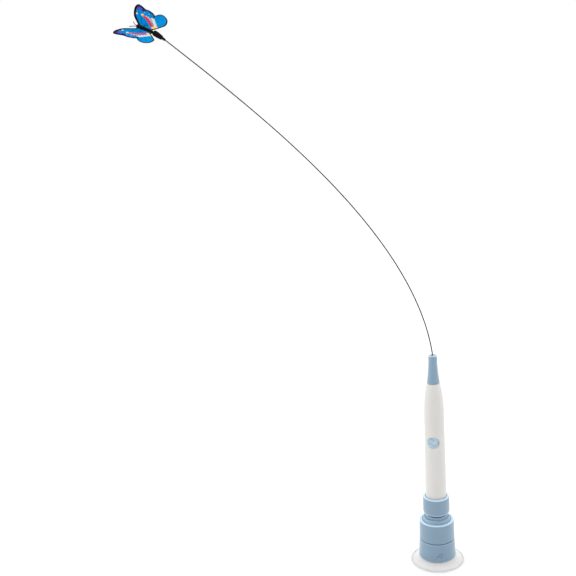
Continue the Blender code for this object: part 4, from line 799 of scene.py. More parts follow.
def make_base_ring():
    """Profile turned about Z, then the dimples pressed in along the radius: the push is
    2.4 (1 - (far / DIMPLE_RADIUS)^2) of their depth, kept between nothing and the whole."""
    dense = [(wall_radius(z), z) for z in np.linspace(*DIMPLE_LEVELS, 48)]
    radius, height, rim = soften([
        (21.9, SEAM_HEIGHT, 0.1), (22.1, 32.85, 0.1), (22.75, 32.0, 0.4), *dense,
        (23.74, 7.7, 0.9), (21.6, 7.7, 0.2), (20.6, 13.1, 0.3), (GUIDE_BORE, 13.1, 0.2),
        (GUIDE_BORE, 24.4), (GUIDE_RADIUS, 24.4), (GUIDE_RADIUS, 14.7, 0.4), (20.6, 14.7, 0.4),
        (20.6, 22.3, 0.1), (19.75, 22.5, 0.1), (19.75, 24.1, 0.1), (20.6, 24.3, 0.1),
        (20.6, SEAM_HEIGHT, 0.12)])
    near = FRONT + np.radians(np.arange(*DIMPLE_SPAN, 0.36))
    even = angles_round()
    even = even[(even < near[0] - 0.01) | (even > near[-1] + 0.01)]
    angles = np.sort(np.concatenate([even, near]))
    wide, high = np.meshgrid(angles, height)
    pit_shade = np.zeros(wide.shape)
    for azimuth, level in DIMPLES:
        far = np.hypot(DIMPLE_WALL * (wide - FRONT - math.radians(azimuth)), high - level)
        pit_shade = np.maximum(pit_shade, np.clip(2.4 - 2.4 * (far / DIMPLE_RADIUS) ** 2, 0.0, 1.0))
    pit_shade *= (radius > 21.9)[:, None]
    # The seam to the collar is marked too: the finish paints shade into it and into the dimples.
    seam = (radius > 21.5) & (radius < 22.2) & (height > 32.7)
    pit_shade = np.maximum(pit_shade, seam[:, None])
    outwards = np.stack([np.cos(wide), np.sin(wide), np.zeros(wide.shape)], axis=-1)
    grid = revolve(radius, height, angles) - outwards * (DIMPLE_DEPTH * pit_shade)[..., None]
    guides = [guide_half(side) for side in (0.0, math.pi)]
    plain = [np.zeros(g.shape[:2]) for g in guides]
    return surface("base_shell", [(grid, True, True)] + [(g, False, True) for g in guides],
                   {"rim": [np.broadcast_to(rim[:, None], wide.shape), *plain],
                    "pit_shade": [pit_shade, *plain]})


def guide_half(side):
    """Half of the guide tube beside the pin's slots: its slice runs from the slot's edge on one
    side to the other, so its angle starts at asin(SLOT_HALF / radius). Its foot is sunk a
    little into the tube below, so that the two don't share an edge."""
    radius, height, _ = soften([(GUIDE_BORE, 24.3), (GUIDE_RADIUS, 24.3),
                                (GUIDE_RADIUS, 30.0, 0.3), (GUIDE_BORE, 30.0, 0.3)])
    start = np.arcsin(SLOT_HALF / radius)
    share = np.linspace(0.0, 1.0, 33)[:, None]
    angle = side + start + share * (math.pi - 2 * start)
    return capped(np.stack([radius * np.cos(angle), radius * np.sin(angle),
                            np.broadcast_to(height, angle.shape)], axis=-1))


dress(make_base_ring(), BLUE, "base", "base_ring")

# %% [markdown]
# ## Lock collar
# The upper blue ring. Its skirt snaps under the base ring's lip. Its rim is a rounded band that
# catches the light, and its top and the dome's upper edge are painted lighter as a highlight.
# Inside the rim a dome, part of a sphere, rises to the ball joint. Two helical ribs inside lift
# the cross pin as the collar turns; each is a slice swept through 87 degrees while it rises.

# %% Lock collar
RIB_INNER, RIB_OUTER, RIB_TOP, RIB_THICKNESS = 7.0, 18.7, 23.9, 2.2
RIB_DEGREES, TWIST_DEGREES = 87, 60
RIB_SWEEP = math.radians(RIB_DEGREES)
RIB_LEAD = math.radians(12)
RIB_RISE = PAD_STROKE / TWIST_DEGREES * RIB_DEGREES
SEAT_RADIUS, WASHER_SEAT, THROAT_RADIUS = 15.7, 17.9, 14.3
DOME_RADIUS = 19.0
DOME_SINK = 10.9


def rib(start):
    """Rectangular slice carried backwards round the axis while it rises in proportion."""
    radius, height, _ = soften([(RIB_INNER, RIB_TOP, 0.2), (RIB_OUTER, RIB_TOP, 0.2),
                                (RIB_OUTER, RIB_TOP - RIB_THICKNESS, 0.2),
                                (RIB_INNER, RIB_TOP - RIB_THICKNESS, 0.2)])
    share = np.linspace(0.0, 1.0, 49)[:, None]
    angle = start + RIB_LEAD - share * RIB_SWEEP
    return capped(np.stack([radius * np.cos(angle), radius * np.sin(angle),
                            height + share * RIB_RISE], axis=-1))


slope = np.radians(np.linspace(31.2, 17.0, 12))
dome = list(zip(DOME_RADIUS * np.cos(slope),
                BALL_HEIGHT - DOME_SINK + DOME_RADIUS * np.sin(slope)))
collar_profile = [
    (22.25, 59.9, 1.3), (22.7, 34.1, 0.12), (22.2, 33.65, 0.1), (21.9, 33.4, 0.1),
    (19.45, 33.4, 0.15), (19.45, 22.4, 0.1), (20.25, 22.0, 0.1), (20.25, 20.9, 0.1),
    (19.85, 20.5, 0.1), (17.95, 20.5, 0.2), (17.95, 34.9, 0.2), (20.4, 36.7, 0.4),
    (20.4, 54.9, 0.4), *shell_arc(WASHER_SEAT, 57.6, 29.5, 12),
    *shell_arc(THROAT_RADIUS, 29.5, 32.0, 3), *shell_arc(SEAT_RADIUS, 32.0, 86.6, 20), *dome,
    (18.5, 59.0, 0.2), (18.95, 59.9, 0.9)]
ribs = [(rib(side), False, True) for side in (0.0, math.pi)]
# The lips paint the rim's top and the dome's upper edge lighter, as a highlight.
collar = turned("collar_shell", collar_profile, STEPS_LARGE, more=ribs,
                lips=((18.7, 59.4, 0.85), (15.9, 59.2, 0.22)))
dress(collar, BLUE, "collar", "lock_collar")

# %% [markdown]
# ## Ball joint and cup
# The liner and the ball are spheres round one centre. The liner's edge shows between ball and
# dome, so its nylon is painted a light blue, like the lit dome beside it. The ball is a lighter
# copy of the blue, painted light against the shade under the cup. The ball's flat top and neck
# show as the dark groove under the cup, so they are marked as a pit, painted with shade. The
# cup is a plain tumbler with a rounded foot and a rolled rim whose top is painted bright as a
# highlight, and a screw in its floor holds it to the ball.

# %% Liner, ball and cup
LINER_OUTER, LINER_INNER = 15.45, 14.25
liner = turned("nylon_liner", [*shell_arc(LINER_OUTER, 86.0, 33.5, 24),
                               *shell_arc(LINER_INNER, 33.5, 86.0, 24)], STEPS_SMALL)
dress(liner, NYLON_PAINTED_LIGHT_BLUE, "liner", "seat_liner")

BALL_RADIUS, BALL_CUT = 14.0, 3.5
flat_radius = math.sqrt(BALL_RADIUS ** 2 - BALL_CUT ** 2)
# Painted light: the ball is the blue made lighter, against the shade that falls under the cup.
BALL_BLUE_PAINTED_LIGHT = moulded("ball_moulding_painted_light", (0.235, 0.360, 0.470), (0.42, 0.56, 0.68), gloss=0.6)
# The ball's flat top and neck are marked, by height, for painted shade: the groove under the cup.
ball = turned("ball_and_neck", [
    (0.0, 61.8), (1.7, 61.8), (1.7, 69.5, 0.15), (11.5, 69.5, 0.2), (11.5, 68.0, 0.4),
    (flat_radius, 68.0, 0.3), *shell_arc(BALL_RADIUS, 103.5, 7.0, 40), (1.7, 57.9),
    (0.0, 57.9)], STEPS_SMALL,
    dark=lambda radius, height: np.clip((height - 67.4) / 0.6, 0.0, 1.0))
dress(ball, BALL_BLUE_PAINTED_LIGHT, "ball", "ball_stud")

# The cup's lip paints the top of its rim lighter, as a highlight.
cup = turned("handle_cup", [
    (17.1, 93.7, 1.5), (17.1, 69.8, 3.1), (1.7, 69.8, 0.2), (1.7, 73.2), (3.2, 73.2),
    (3.2, 75.2, 0.2), (13.95, 75.2, 0.3), (13.95, 93.7, 0.35)], STEPS_LARGE,
    lips=((13.9, 93.3, 0.85),))
dress(cup, BLUE, "ball", "wand_cup")

# %% [markdown]
# A pan-head screw with a cross recess. The head is a round grid whose height falls towards the
# edge, less a dent where the smaller of |x| and |y| lies within half the recess's width.

# %% Cup screw
HEAD_RADIUS, HEAD_TOP, HEAD_FALL = 2.6, 75.05, 0.25
RECESS_HALF, RECESS_REACH, RECESS_DEPTH = 0.42, 1.75, 0.9


def make_cup_screw():
    """Head, rim and shank in one grid of rings from the top's centre down to the tip."""
    angles = angles_round(STEPS_SMALL)
    ring = np.linspace(0.0, HEAD_RADIUS, 27)[:, None]
    x, y = ring * np.cos(angles), ring * np.sin(angles)
    narrow, wide = np.minimum(abs(x), abs(y)), np.maximum(abs(x), abs(y))
    dent = (np.clip((RECESS_HALF - narrow) / 0.12, 0, 1)
            * np.clip((RECESS_REACH - wide) / 0.5, 0, 1))
    top = HEAD_TOP - HEAD_FALL * (ring / HEAD_RADIUS) ** 2 - RECESS_DEPTH * dent
    head = np.stack([x, y, top], axis=-1)
    down = np.array([(2.78, 74.72), (2.88, 74.5), (2.9, 74.2), (2.9, 73.6), (2.8, 73.5),
                     (1.5, 73.5), (1.5, 62.8), (0.9, 62.1), (0.0, 62.1)])
    shank = revolve(down[:, 0], down[:, 1], angles)
    return surface("cross_screw", [(np.concatenate([head, shank]), False, True)])


dress(make_cup_screw(), STEEL, "ball", "cup_screw")

# %% [markdown]
# ## Handle
# A white tube that narrows by a millimetre up to its shoulder and then curves in, as an ogive, to
# the nose. The round hole for the button is the hard part: a round hole doesn't fit a grid that
# runs up and round. So a window of the grid is left out, and rings fill it: the innermost is the
# hole's circle, the outermost the window's own edge, and the rest lie between them. Every point
# is pushed back onto the tube by y = -sqrt(R(z)^2 - x^2).

# %% Handle's shape
HANDLE_BOTTOM, HANDLE_WAIST, HANDLE_SHOULDER, HANDLE_TOP = 79.0, 155.0, 205.0, 250.5
HANDLE_WALL = 1.6
TIP_RADIUS, OGIVE_DROP, OGIVE_POWER = 8.25, 4.3, 2.5
BUTTON_HEIGHT = 173.0
HOLE_RADIUS = 7.55
HOLE_ROUND = 0.25
WINDOW_COLUMNS = 18
WINDOW_ROWS = 13
WINDOW_HALF = 9.0


def handle_radius(height):
    """Two straight tapers, then tip + drop (1 - t^2.5) up the ogive, t going from 0 to 1."""
    lower = np.interp(height, [75.5, HANDLE_WAIST, HANDLE_SHOULDER], [13.6, 13.0, 12.55])
    t = np.clip((height - HANDLE_SHOULDER) / (HANDLE_TOP - HANDLE_SHOULDER), 0.0, 1.0)
    return np.where(height > HANDLE_SHOULDER,
                    TIP_RADIUS + OGIVE_DROP * (1 - t ** OGIVE_POWER), lower)


print("handle across its foot:", round(2 * float(handle_radius(HANDLE_BOTTOM)), 1), "mm")

# %% Window round the button's hole
def window_edge(radius_at):
    """Once round the window, as (x, z): along its bottom, up, back along its top and down."""
    step = 2 * math.pi / STEPS_ROUND
    across = np.arange(-WINDOW_COLUMNS, WINDOW_COLUMNS + 1)
    levels = np.linspace(BUTTON_HEIGHT - WINDOW_HALF, BUTTON_HEIGHT + WINDOW_HALF, WINDOW_ROWS)
    column = np.concatenate([across[:-1], np.full(WINDOW_ROWS - 1, WINDOW_COLUMNS),
                             across[:0:-1], np.full(WINDOW_ROWS - 1, -WINDOW_COLUMNS)])
    level = np.concatenate([np.full(2 * WINDOW_COLUMNS, levels[0]), levels[:-1],
                            np.full(2 * WINDOW_COLUMNS, levels[-1]), levels[:0:-1]])
    return np.stack([radius_at(level) * np.sin(column * step), level], axis=-1)


def on_tube(spot, radius_at, depth=0.0):
    """Points (x, z) laid on the front of the tube, pushed in by depth."""
    x, z = spot[..., 0], spot[..., 1]
    y = -np.sqrt(radius_at(z) ** 2 - x ** 2) + depth
    return np.stack([x, y, z], axis=-1)


def window_rings(radius_at, inner, hole_angle):
    """Rings from a circle of the given radius out to the window's edge."""
    edge = window_edge(radius_at)
    circle = inner * np.stack([np.cos(hole_angle), np.sin(hole_angle)], axis=-1)
    circle[:, 1] += BUTTON_HEIGHT
    share = np.array([0.0, 0.05, 0.14, 0.3, 0.5, 0.75, 1.0])[:, None, None]
    return on_tube(circle + share * (edge - circle), radius_at)


print("points round the window:", len(window_edge(handle_radius)))

# %% Handle tube
def make_handle():
    """Everything above the window, everything below it, the band beside it, the window's rings
    outside and inside, and the hole's wall."""
    outer, inner = handle_radius, lambda z: handle_radius(z) - HANDLE_WALL
    low, high = BUTTON_HEIGHT - WINDOW_HALF, BUTTON_HEIGHT + WINDOW_HALF
    angles = angles_round()
    climb = np.concatenate([np.linspace(high, HANDLE_SHOULDER, 5),
                            np.linspace(HANDLE_SHOULDER + 2, HANDLE_TOP - 0.3, 40)])
    down = climb[climb < HANDLE_TOP - 1.7][::-1]
    top_radius = np.concatenate([outer(climb), [8.05, 7.85, 5.05, 5.0, 5.0], inner(down)])
    top_height = np.concatenate([climb, [HANDLE_TOP - 0.05, HANDLE_TOP, HANDLE_TOP,
                                         HANDLE_TOP - 0.1, HANDLE_TOP - 1.7], down])
    drop = np.concatenate([np.linspace(low, HANDLE_WAIST, 3), np.linspace(147, 80, 12),
                           [HANDLE_BOTTOM + 0.3]])
    foot_radius = np.concatenate([outer(drop), [13.5, 13.3, 12.2, 12.0], inner(drop[::-1])])
    foot_height = np.concatenate([drop, [HANDLE_BOTTOM + 0.08] + [HANDLE_BOTTOM] * 2
                                  + [HANDLE_BOTTOM + 0.15], drop[::-1]])
    band = np.linspace(low, high, WINDOW_ROWS)
    beside = angles[WINDOW_COLUMNS:STEPS_ROUND - WINDOW_COLUMNS + 1]
    edge = window_edge(outer)
    hole_angle = np.arctan2(edge[:, 1] - BUTTON_HEIGHT, edge[:, 0])
    circle = np.stack([np.cos(hole_angle), np.sin(hole_angle)], axis=-1)
    middle = np.array([0.0, BUTTON_HEIGHT])
    wall = np.stack([
        on_tube(middle + circle * (HOLE_RADIUS + HOLE_ROUND), outer),
        on_tube(middle + circle * (HOLE_RADIUS + 0.3 * HOLE_ROUND), outer, 0.3 * HOLE_ROUND),
        on_tube(middle + circle * HOLE_RADIUS, outer, HOLE_ROUND),
        on_tube(middle + circle * HOLE_RADIUS, outer, 2 * HOLE_ROUND),
        on_tube(middle + circle * HOLE_RADIUS, inner)])
    grids = [
        (revolve(top_radius, top_height, angles), False, True),
        (revolve(foot_radius, foot_height, angles), False, True),
        (revolve(outer(band), band, beside), False, False),
        (revolve(inner(band), band, beside), False, False),
        (window_rings(outer, HOLE_RADIUS + HOLE_ROUND, hole_angle), False, True),
        (window_rings(inner, HOLE_RADIUS, hole_angle), False, True),
        (wall, False, True)]
    return surface("handle_shell", grids)


dress(make_handle(), WHITE, "wand", "handle_tube")

# %% [markdown]
# ## Button
# A disc with the handle's own curve, a touch proud of it, on a post with a bar that catches
# behind the hole. Its face is pebbled by the material.

# %% Button
BUTTON_FACE = 13.24
button_rows = np.array([
    (0.0, 0.0), (2.0, 0.0), (4.0, 0.0), (5.5, 0.0), (6.4, 0.0), (6.8, 0.02), (7.05, 0.09),
    (7.2, 0.2), (7.28, 0.36), (7.3, 0.6), (7.3, 1.5), (7.2, 1.8), (4.0, 1.8), (0.0, 1.8)])
angles = angles_round(STEPS_SMALL)
x = button_rows[:, :1] * np.cos(angles)
z = button_rows[:, :1] * np.sin(angles) + BUTTON_HEIGHT
y = -np.sqrt(BUTTON_FACE ** 2 - x ** 2) + button_rows[:, 1:]
post_rows = np.array([(0.0, -11.6), (2.6, -11.6), (2.6, -8.8), (0.0, -8.8)])
post = np.stack([post_rows[:, :1] * np.cos(angles),
                 np.broadcast_to(post_rows[:, 1:], (4, len(angles))),
                 post_rows[:, :1] * np.sin(angles) + BUTTON_HEIGHT], axis=-1)
bar_y = (-10.28, -9.43)
bar_slice = np.array([(-2.0, bar_y[0]), (2.0, bar_y[0]), (2.0, bar_y[1]), (-2.0, bar_y[1])])
bar_ends = np.array([BUTTON_HEIGHT - 8.6, BUTTON_HEIGHT + 8.6])
bar = np.concatenate([np.broadcast_to(bar_slice, (2, 4, 2)),
                      np.broadcast_to(bar_ends[:, None, None], (2, 4, 1))], axis=-1)
button = surface("push_button", [(np.stack([x, y, z], axis=-1), False, True),
                                 (post, False, True), (capped(bar), False, True)])
dress(button, BUTTON_BLUE, "button", "button_cap")

# %% [markdown]
# ## Foot of the handle
# The end cap closes the tube, and the charging socket sits in its floor. The socket's mouth is a
# rounded slot: a superellipse, |x/a|^n + |y/b|^n = 1 with n = 6. The rings of the cap's underside
# go from that slot out to a circle.

# %% End cap and socket
def slot_ring(half_width, half_depth, angles, power=6.0):
    """A superellipse, by angle."""
    c, s = np.cos(angles), np.sin(angles)
    far = (np.abs(c / half_width) ** power + np.abs(s / half_depth) ** power) ** (-1 / power)
    return np.stack([far * c, far * s], axis=-1)


def at_heights(rings, heights):
    """Flat rings (rows, columns, 2) lifted to one height for each row."""
    rings = np.asarray(rings)
    level = np.broadcast_to(np.asarray(heights, float)[:, None, None], (*rings.shape[:2], 1))
    return np.concatenate([rings, level], axis=-1)


def make_end_cap():
    """From the slot's upper edge down, out to the rounded foot, up, and back in over the plug."""
    angles = angles_round(192)
    slot = slot_ring(4.8, 1.9, angles)
    round_slot = slot_ring(5.0, 2.1, angles)
    circle = np.stack([np.cos(angles), np.sin(angles)], axis=-1)
    bend = np.radians(np.linspace(90, 0, 8))
    rings = [slot, slot, round_slot, *[round_slot + share * (circle * 12.1 - round_slot)
                                       for share in (0.3, 0.65, 1.0)]]
    heights = [77.3, 75.7, 75.5, 75.5, 75.5, 75.5]
    rings += [circle * (12.1 + 1.5 * math.cos(a)) for a in bend]
    heights += [77.0 - 1.5 * math.sin(a) for a in bend]
    for radius, height in ((13.58, 78.55), (13.4, 78.7), (11.67, 78.7), (11.67, 83.8),
                           (11.5, 84.0), (10.4, 84.0), (10.27, 83.8), (10.27, 77.3)):
        rings.append(circle * radius)
        heights.append(height)
    rings.append(slot)
    heights.append(77.3)
    return surface("foot_cap", [(at_heights(rings, heights), False, True)])


def make_socket():
    """A thin steel shell: up its outside, over its closed end and back down inside."""
    angles = angles_round(STEPS_SMALL)
    outer, inner = slot_ring(4.5, 1.6, angles), slot_ring(4.2, 1.3, angles)
    rings = [inner, outer, outer, outer * 0.0, inner * 0.0, inner]
    heights = [75.9, 75.9, 82.9, 82.9, 81.4, 81.4]
    return surface("socket_shell", [(at_heights(rings, heights), True, True)])


dress(make_end_cap(), WHITE, "wand", "end_cap")
dress(make_socket(), STEEL, "wand", "charge_socket")

# %% [markdown]
# ## Nose cone and ferrule
# The nose flares down to the handle as 5.4 + 2.7 s^2. Its flat top has a small well in the
# middle, where a steel ferrule grips the wire.

# %% Nose and ferrule
NOSE_TOP = 287.3
share = np.linspace(0.0, 1.0, 40)[2:-1]
nose_side = [(5.4 + 2.7 * s ** 2, NOSE_TOP - 36.4 * s) for s in share]
nose = turned("nose_shell", [
    (0.0, 267.9), (0.85, 267.9), (0.85, 285.7, 0.1), (2.1, 285.7, 0.2), (2.1, NOSE_TOP, 0.3),
    (5.4, NOSE_TOP, 0.8), *nose_side, (8.1, 250.9, 0.4), (1.68, 250.9, 0.15), (1.68, 263.4),
    (0.0, 263.4)], 128)
dress(nose, NOSE_BLUE_PAINTED_LIGHT, "head", "nose_cone")
ferrule = turned("ferrule_ring", [(1.7, 287.6, 0.3), (1.7, 286.0, 0.1), (0.85, 286.0),
                                  (0.85, 287.6, 0.25)], 48)
dress(ferrule, STEEL, "head", "wire_ferrule")

# %% [markdown]
# ## Wire
# The wire leaves the nose almost straight up and bends over in one springy curve: a cubic from
# the ferrule to the sleeve. In the photograph it has short light and dark dashes, because it is
# twisted from strands. So its section is not round but has three lobes, which turn once round in
# each 15 mm of its length. Strands and grooves are thinner than a pixel, so the wire is drawn a
# little fuller than its solid, as heavy as it looks in the photograph. The groove depth is kept
# as an attribute, from which the material paints shade into the grooves.

# %% The wire's path
WIRE_RADIUS = 0.6
WIRE_SHARE, LOBE_SHARE = 1.15, 0.06
LOBES = 3
LAY_LENGTH = 15.0
WIRE_FOOT = (0.0, 0.0, 268.2)
WIRE_START = np.array([0.0, 0.0, 287.6])
WIRE_END = np.array([-317.5, 0.0, 684.2])
START_LEAN, END_RISE, BEAD_RISE = math.radians(6.7), math.radians(39.0), math.radians(34.3)
START_PULL, END_PULL = 156.3, 156.9
WIRE_IN_BEAD = 14.2
BEAD_WAY = np.array([-math.cos(BEAD_RISE), 0.0, math.sin(BEAD_RISE)])


def wire_path(spacing):
    """Straight in the nose, the cubic, and straight inside the bead, at even spacing."""
    first = WIRE_START + START_PULL * np.array([-math.sin(START_LEAN), 0, math.cos(START_LEAN)])
    second = WIRE_END - END_PULL * np.array([-math.cos(END_RISE), 0, math.sin(END_RISE)])
    t = np.linspace(0, 1, 800)[:, None]
    s = 1 - t
    cubic = (WIRE_START * s ** 3 + first * 3 * s * s * t + second * 3 * s * t * t
             + WIRE_END * t ** 3)
    path = np.vstack([[WIRE_FOOT], cubic, [WIRE_END + WIRE_IN_BEAD * BEAD_WAY]])
    along = np.concatenate([[0], np.cumsum(np.linalg.norm(np.diff(path, axis=0), axis=1))])
    even = np.linspace(0, along[-1], int(along[-1] / spacing))
    return np.stack([np.interp(even, along, path[:, k]) for k in range(3)], axis=-1), even


def tube_along(path, radius, columns):
    """Rings across a path that lies in a plane of constant y: each ring stands on the path's
    normal in that plane and on Y. radius is one number for each ring and column."""
    ahead = np.gradient(path, axis=0)
    ahead /= np.linalg.norm(ahead, axis=1, keepdims=True)
    side = np.array([0.0, 1.0, 0.0])
    normal = np.cross(side, ahead)
    angle = 2 * math.pi * np.arange(columns) / columns
    radius = np.broadcast_to(radius, (len(path), columns))[..., None]
    return (path[:, None] + radius * np.cos(angle)[None, :, None] * normal[:, None]
            + radius * np.sin(angle)[None, :, None] * side)


def make_wire():
    """A three-lobed section that turns along the path: radius = r (share + lobe cos 3(a - turn)),
    where turn grows by a whole round in each lay length."""
    path, along = wire_path(0.75)
    columns = 24
    angle = 2 * math.pi * np.arange(columns) / columns
    lobe = np.cos(LOBES * (angle[None, :] - 2 * math.pi * along[:, None] / LAY_LENGTH))
    grid = tube_along(path, WIRE_RADIUS * (WIRE_SHARE + LOBE_SHARE * lobe), columns)
    # Painted shade: how deep a point lies in a groove between the strands.
    groove_shade = np.clip(-lobe, 0.0, 1.0)
    ends = np.zeros((1, columns))
    groove_shade = np.vstack([ends, groove_shade, ends])
    print(f"wire length {along[-1]:.1f} mm")
    return surface("twisted_wire", [(capped(grid), False, True)], {"groove_shade": [groove_shade]})


dress(make_wire(), ROPE_STEEL, "head", "steel_wire")

# %% [markdown]
# ## Sleeve and bead
# Both are turned about the line on which the wire ends. The bead swells towards the butterfly in
# a flowing line through six points.

# %% Sleeve and bead
def spin_about(origin, way):
    """(origin, directions) for revolve: the turning axis runs from origin along way."""
    axis = np.asarray(way) / np.linalg.norm(way)
    side = np.cross(axis, (0.0, 1.0, 0.001))
    side /= np.linalg.norm(side)
    return np.asarray(origin, float), np.stack([side, np.cross(axis, side), axis])


sleeve = turned("rubber_sleeve", [(1.8, 4.5, 0.3), (1.45, 0.0, 0.4), (0.7, 0.0), (0.7, 4.5)], 40,
                spin_about(WIRE_END, BEAD_WAY))
dress(sleeve, RUBBER, "head", "wire_sleeve")

BEAD_START, BEAD_LENGTH = 4.8, 12.2
swell = flow([(0.0, 2.6), (0.22, 3.05), (0.52, 3.45), (0.80, 3.5), (0.95, 3.3), (1.0, 2.8)], 8)
bead_side = [(r, BEAD_LENGTH * s) for s, r in swell[::-1]]
bead_base = WIRE_END + BEAD_START * BEAD_WAY
bead = turned("tail_bead_skin", [(0.0, BEAD_LENGTH + 0.15), (1.8, BEAD_LENGTH + 0.1, 0.3),
                                 *bead_side, (0.7, 0.0), (0.7, 9.7), (0.0, 9.7)], 64,
              spin_about(bead_base, BEAD_WAY))
dress(bead, FLOCK, "head", "tail_bead")

# %% [markdown]
# ## The butterfly's own directions
# The butterfly is built lying flat in its own axes: u forwards, v outwards along a wing, w up.
# Three turns place it in the photograph: a heading, a rise and a roll, and each wing is raised a
# little more by the dihedral.

# %% Butterfly frame
FLY_HEADING, FLY_RISE, FLY_ROLL = math.radians(-7.3), math.radians(22.4), math.radians(22.3)
DIHEDRAL = math.radians(9.7)
BODY_TILT = math.radians(2.8)
WING_SINK = 0.9
TAIL_GAP = 0.3
TAIL_LENGTH, HEAD_LENGTH, THORAX = 10.8, 11.6, 3.1
ahead = np.array([-math.cos(FLY_HEADING) * math.cos(FLY_RISE),
                  math.sin(FLY_HEADING) * math.cos(FLY_RISE), math.sin(FLY_RISE)])
level = np.cross(ahead, (0.0, 0.0, 1.0))
level /= np.linalg.norm(level)
upright = np.cross(level, ahead)
leftwards = level * math.cos(FLY_ROLL) + upright * math.sin(FLY_ROLL)
upwards = upright * math.cos(FLY_ROLL) - level * math.sin(FLY_ROLL)
fly_origin = (bead_base + BEAD_WAY * (BEAD_LENGTH + TAIL_GAP)
              + ahead * (TAIL_LENGTH + TAIL_GAP))
wing_origin = fly_origin - upwards * WING_SINK
body_way = ahead * math.cos(BODY_TILT) + upwards * math.sin(BODY_TILT)
print("butterfly at", fly_origin.round(1), "mm")

# %% [markdown]
# The body is one turned piece: abdomen, waist, thorax and head. Shallow rings mark the abdomen:
# a cosine along it takes up to a twentieth off its thickness, once every 1.6 mm.

# %% Body
RING_DEPTH, RING_PITCH, ABDOMEN_END = 0.05, 1.6, 0.42
shape = flow([(0.0, 0.50), (0.06, 0.70), (0.18, 0.84), (0.32, 0.86), (0.42, 0.82), (0.50, 0.90),
              (0.62, 1.0), (0.74, 0.97), (0.82, 0.80), (0.88, 0.86), (0.95, 0.80),
              (0.985, 0.45)], 10)
along = (TAIL_LENGTH + HEAD_LENGTH) * shape[:, 0] - TAIL_LENGTH
wave = 0.5 + 0.5 * np.cos(2 * math.pi * along / RING_PITCH)
rings = 1 - RING_DEPTH * wave * (shape[:, 0] < ABDOMEN_END)
thick = THORAX * shape[:, 1] * rings
body_side = list(zip(thick[::-1], along[::-1]))
body = turned("flocked_body", [(0.0, HEAD_LENGTH), *body_side, (0.0, -TAIL_LENGTH)], 64,
              spin_about(fly_origin, body_way))
dress(body, FLOCK, "head", "butterfly_body")

# %% [markdown]
# ## Wings
# A wing's outline is a flowing line through twenty points, straight along the root. Seen from a
# point near the root, every outline point is in plain view, so a grid of (share of the way out,
# step round the outline) covers the wing. The film isn't flat: it arches a little from front to
# back, its tip lifts, and it waves towards the trailing edge.

# %% Wing outline
WING_EDGE = np.array([
    (8.8, 3.24), (15.3, 10.25), (22.2, 19.08), (26.3, 30.29), (27.0, 37.83), (25.2, 41.80),
    (20.4, 41.01), (14.1, 37.63), (8.8, 37.34), (2.3, 34.46), (-0.5, 32.18), (-2.1, 33.66),
    (-5.6, 37.44), (-10.6, 37.63), (-16.2, 33.27), (-19.0, 27.02), (-19.2, 19.87),
    (-15.7, 14.12), (-12.0, 9.05), (-7.4, 3.24)])
WING_HEART = np.array([0.7, 3.8])
FILM_THICKNESS = 0.34


def wing_outline(spacing):
    """The outline at even spacing, closed by the straight root."""
    line = np.vstack([flow(WING_EDGE, 12), WING_EDGE[:1]])
    step = np.linalg.norm(np.diff(line, axis=0), axis=1)
    along = np.concatenate([[0], np.cumsum(step)])
    even = np.linspace(0, along[-1], int(along[-1] / spacing), endpoint=False)
    return np.stack([np.interp(even, along, line[:, k]) for k in range(2)], axis=-1)


def film_height(u, v):
    """How far the film stands off its plane, with out as the share of the way to the tip: an
    arch of 2.8 out (1 - out) that fades away from u = 6, a lift of 0.9 out^3, and behind u = 8 a
    wave of 0.35 out sin(u / 5.2 + v / 9) that grows backwards."""
    out = np.clip((v - 3.0) / 39.0, 0.0, 1.0)
    arch = 0.7 * out * (1 - out) * 4 * np.exp(-((u - 6.0) / 16.0) ** 2)
    wave = 0.35 * out * np.sin(u / 5.2 + v / 9.0) * np.clip((8.0 - u) / 20.0, 0.0, 1.0)
    return arch + 0.9 * out ** 3 + wave


outline = wing_outline(0.48)
print("points round a wing:", len(outline))

# %% [markdown]
# ## The print
# The pattern is a made-up one in the manner of such toys: a bright blue ground that darkens
# towards a purple tip with violet blotches and lightens a little on the hind wing, a red band
# with yellow and salmon scallops, a pale band between the fore and hind wing, a few yellow spots
# and thin dark veins. Each mark is a line or a spot with a width, and a point takes the mark's
# colour by how far it lies from it. The marks stand in a table, and later ones cover earlier
# ones.

# %% Laying a mark
def srgb(*levels):
    """Linear colour from 0-255 levels."""
    c = np.array(levels) / 255
    return np.where(c <= 0.04045, c / 12.92, ((c + 0.055) / 1.055) ** 2.4)


def far_from(points, spot):
    """Distance from each point to a polyline, or to one point."""
    line = np.atleast_2d(np.asarray(spot, float))
    if len(line) == 1:
        return np.linalg.norm(points - line[0], axis=-1)
    best = np.full(points.shape[:-1], 1e9)
    for start, end in zip(line[:-1], line[1:]):
        way = end - start
        t = np.clip(((points - start) @ way) / (way @ way), 0, 1)
        best = np.minimum(best, np.linalg.norm(points - start - t[..., None] * way, axis=-1))
    return best


def dab(colour, points, spot, width, tone, blur):
    """Lay one mark over the colours: full inside its width, fading over blur."""
    mask = np.clip((width - far_from(points, spot)) / blur + 0.5, 0, 1)[..., None]
    return colour + mask * (np.asarray(tone) - colour)


print("a mid grey in linear light:", srgb(128).round(3))

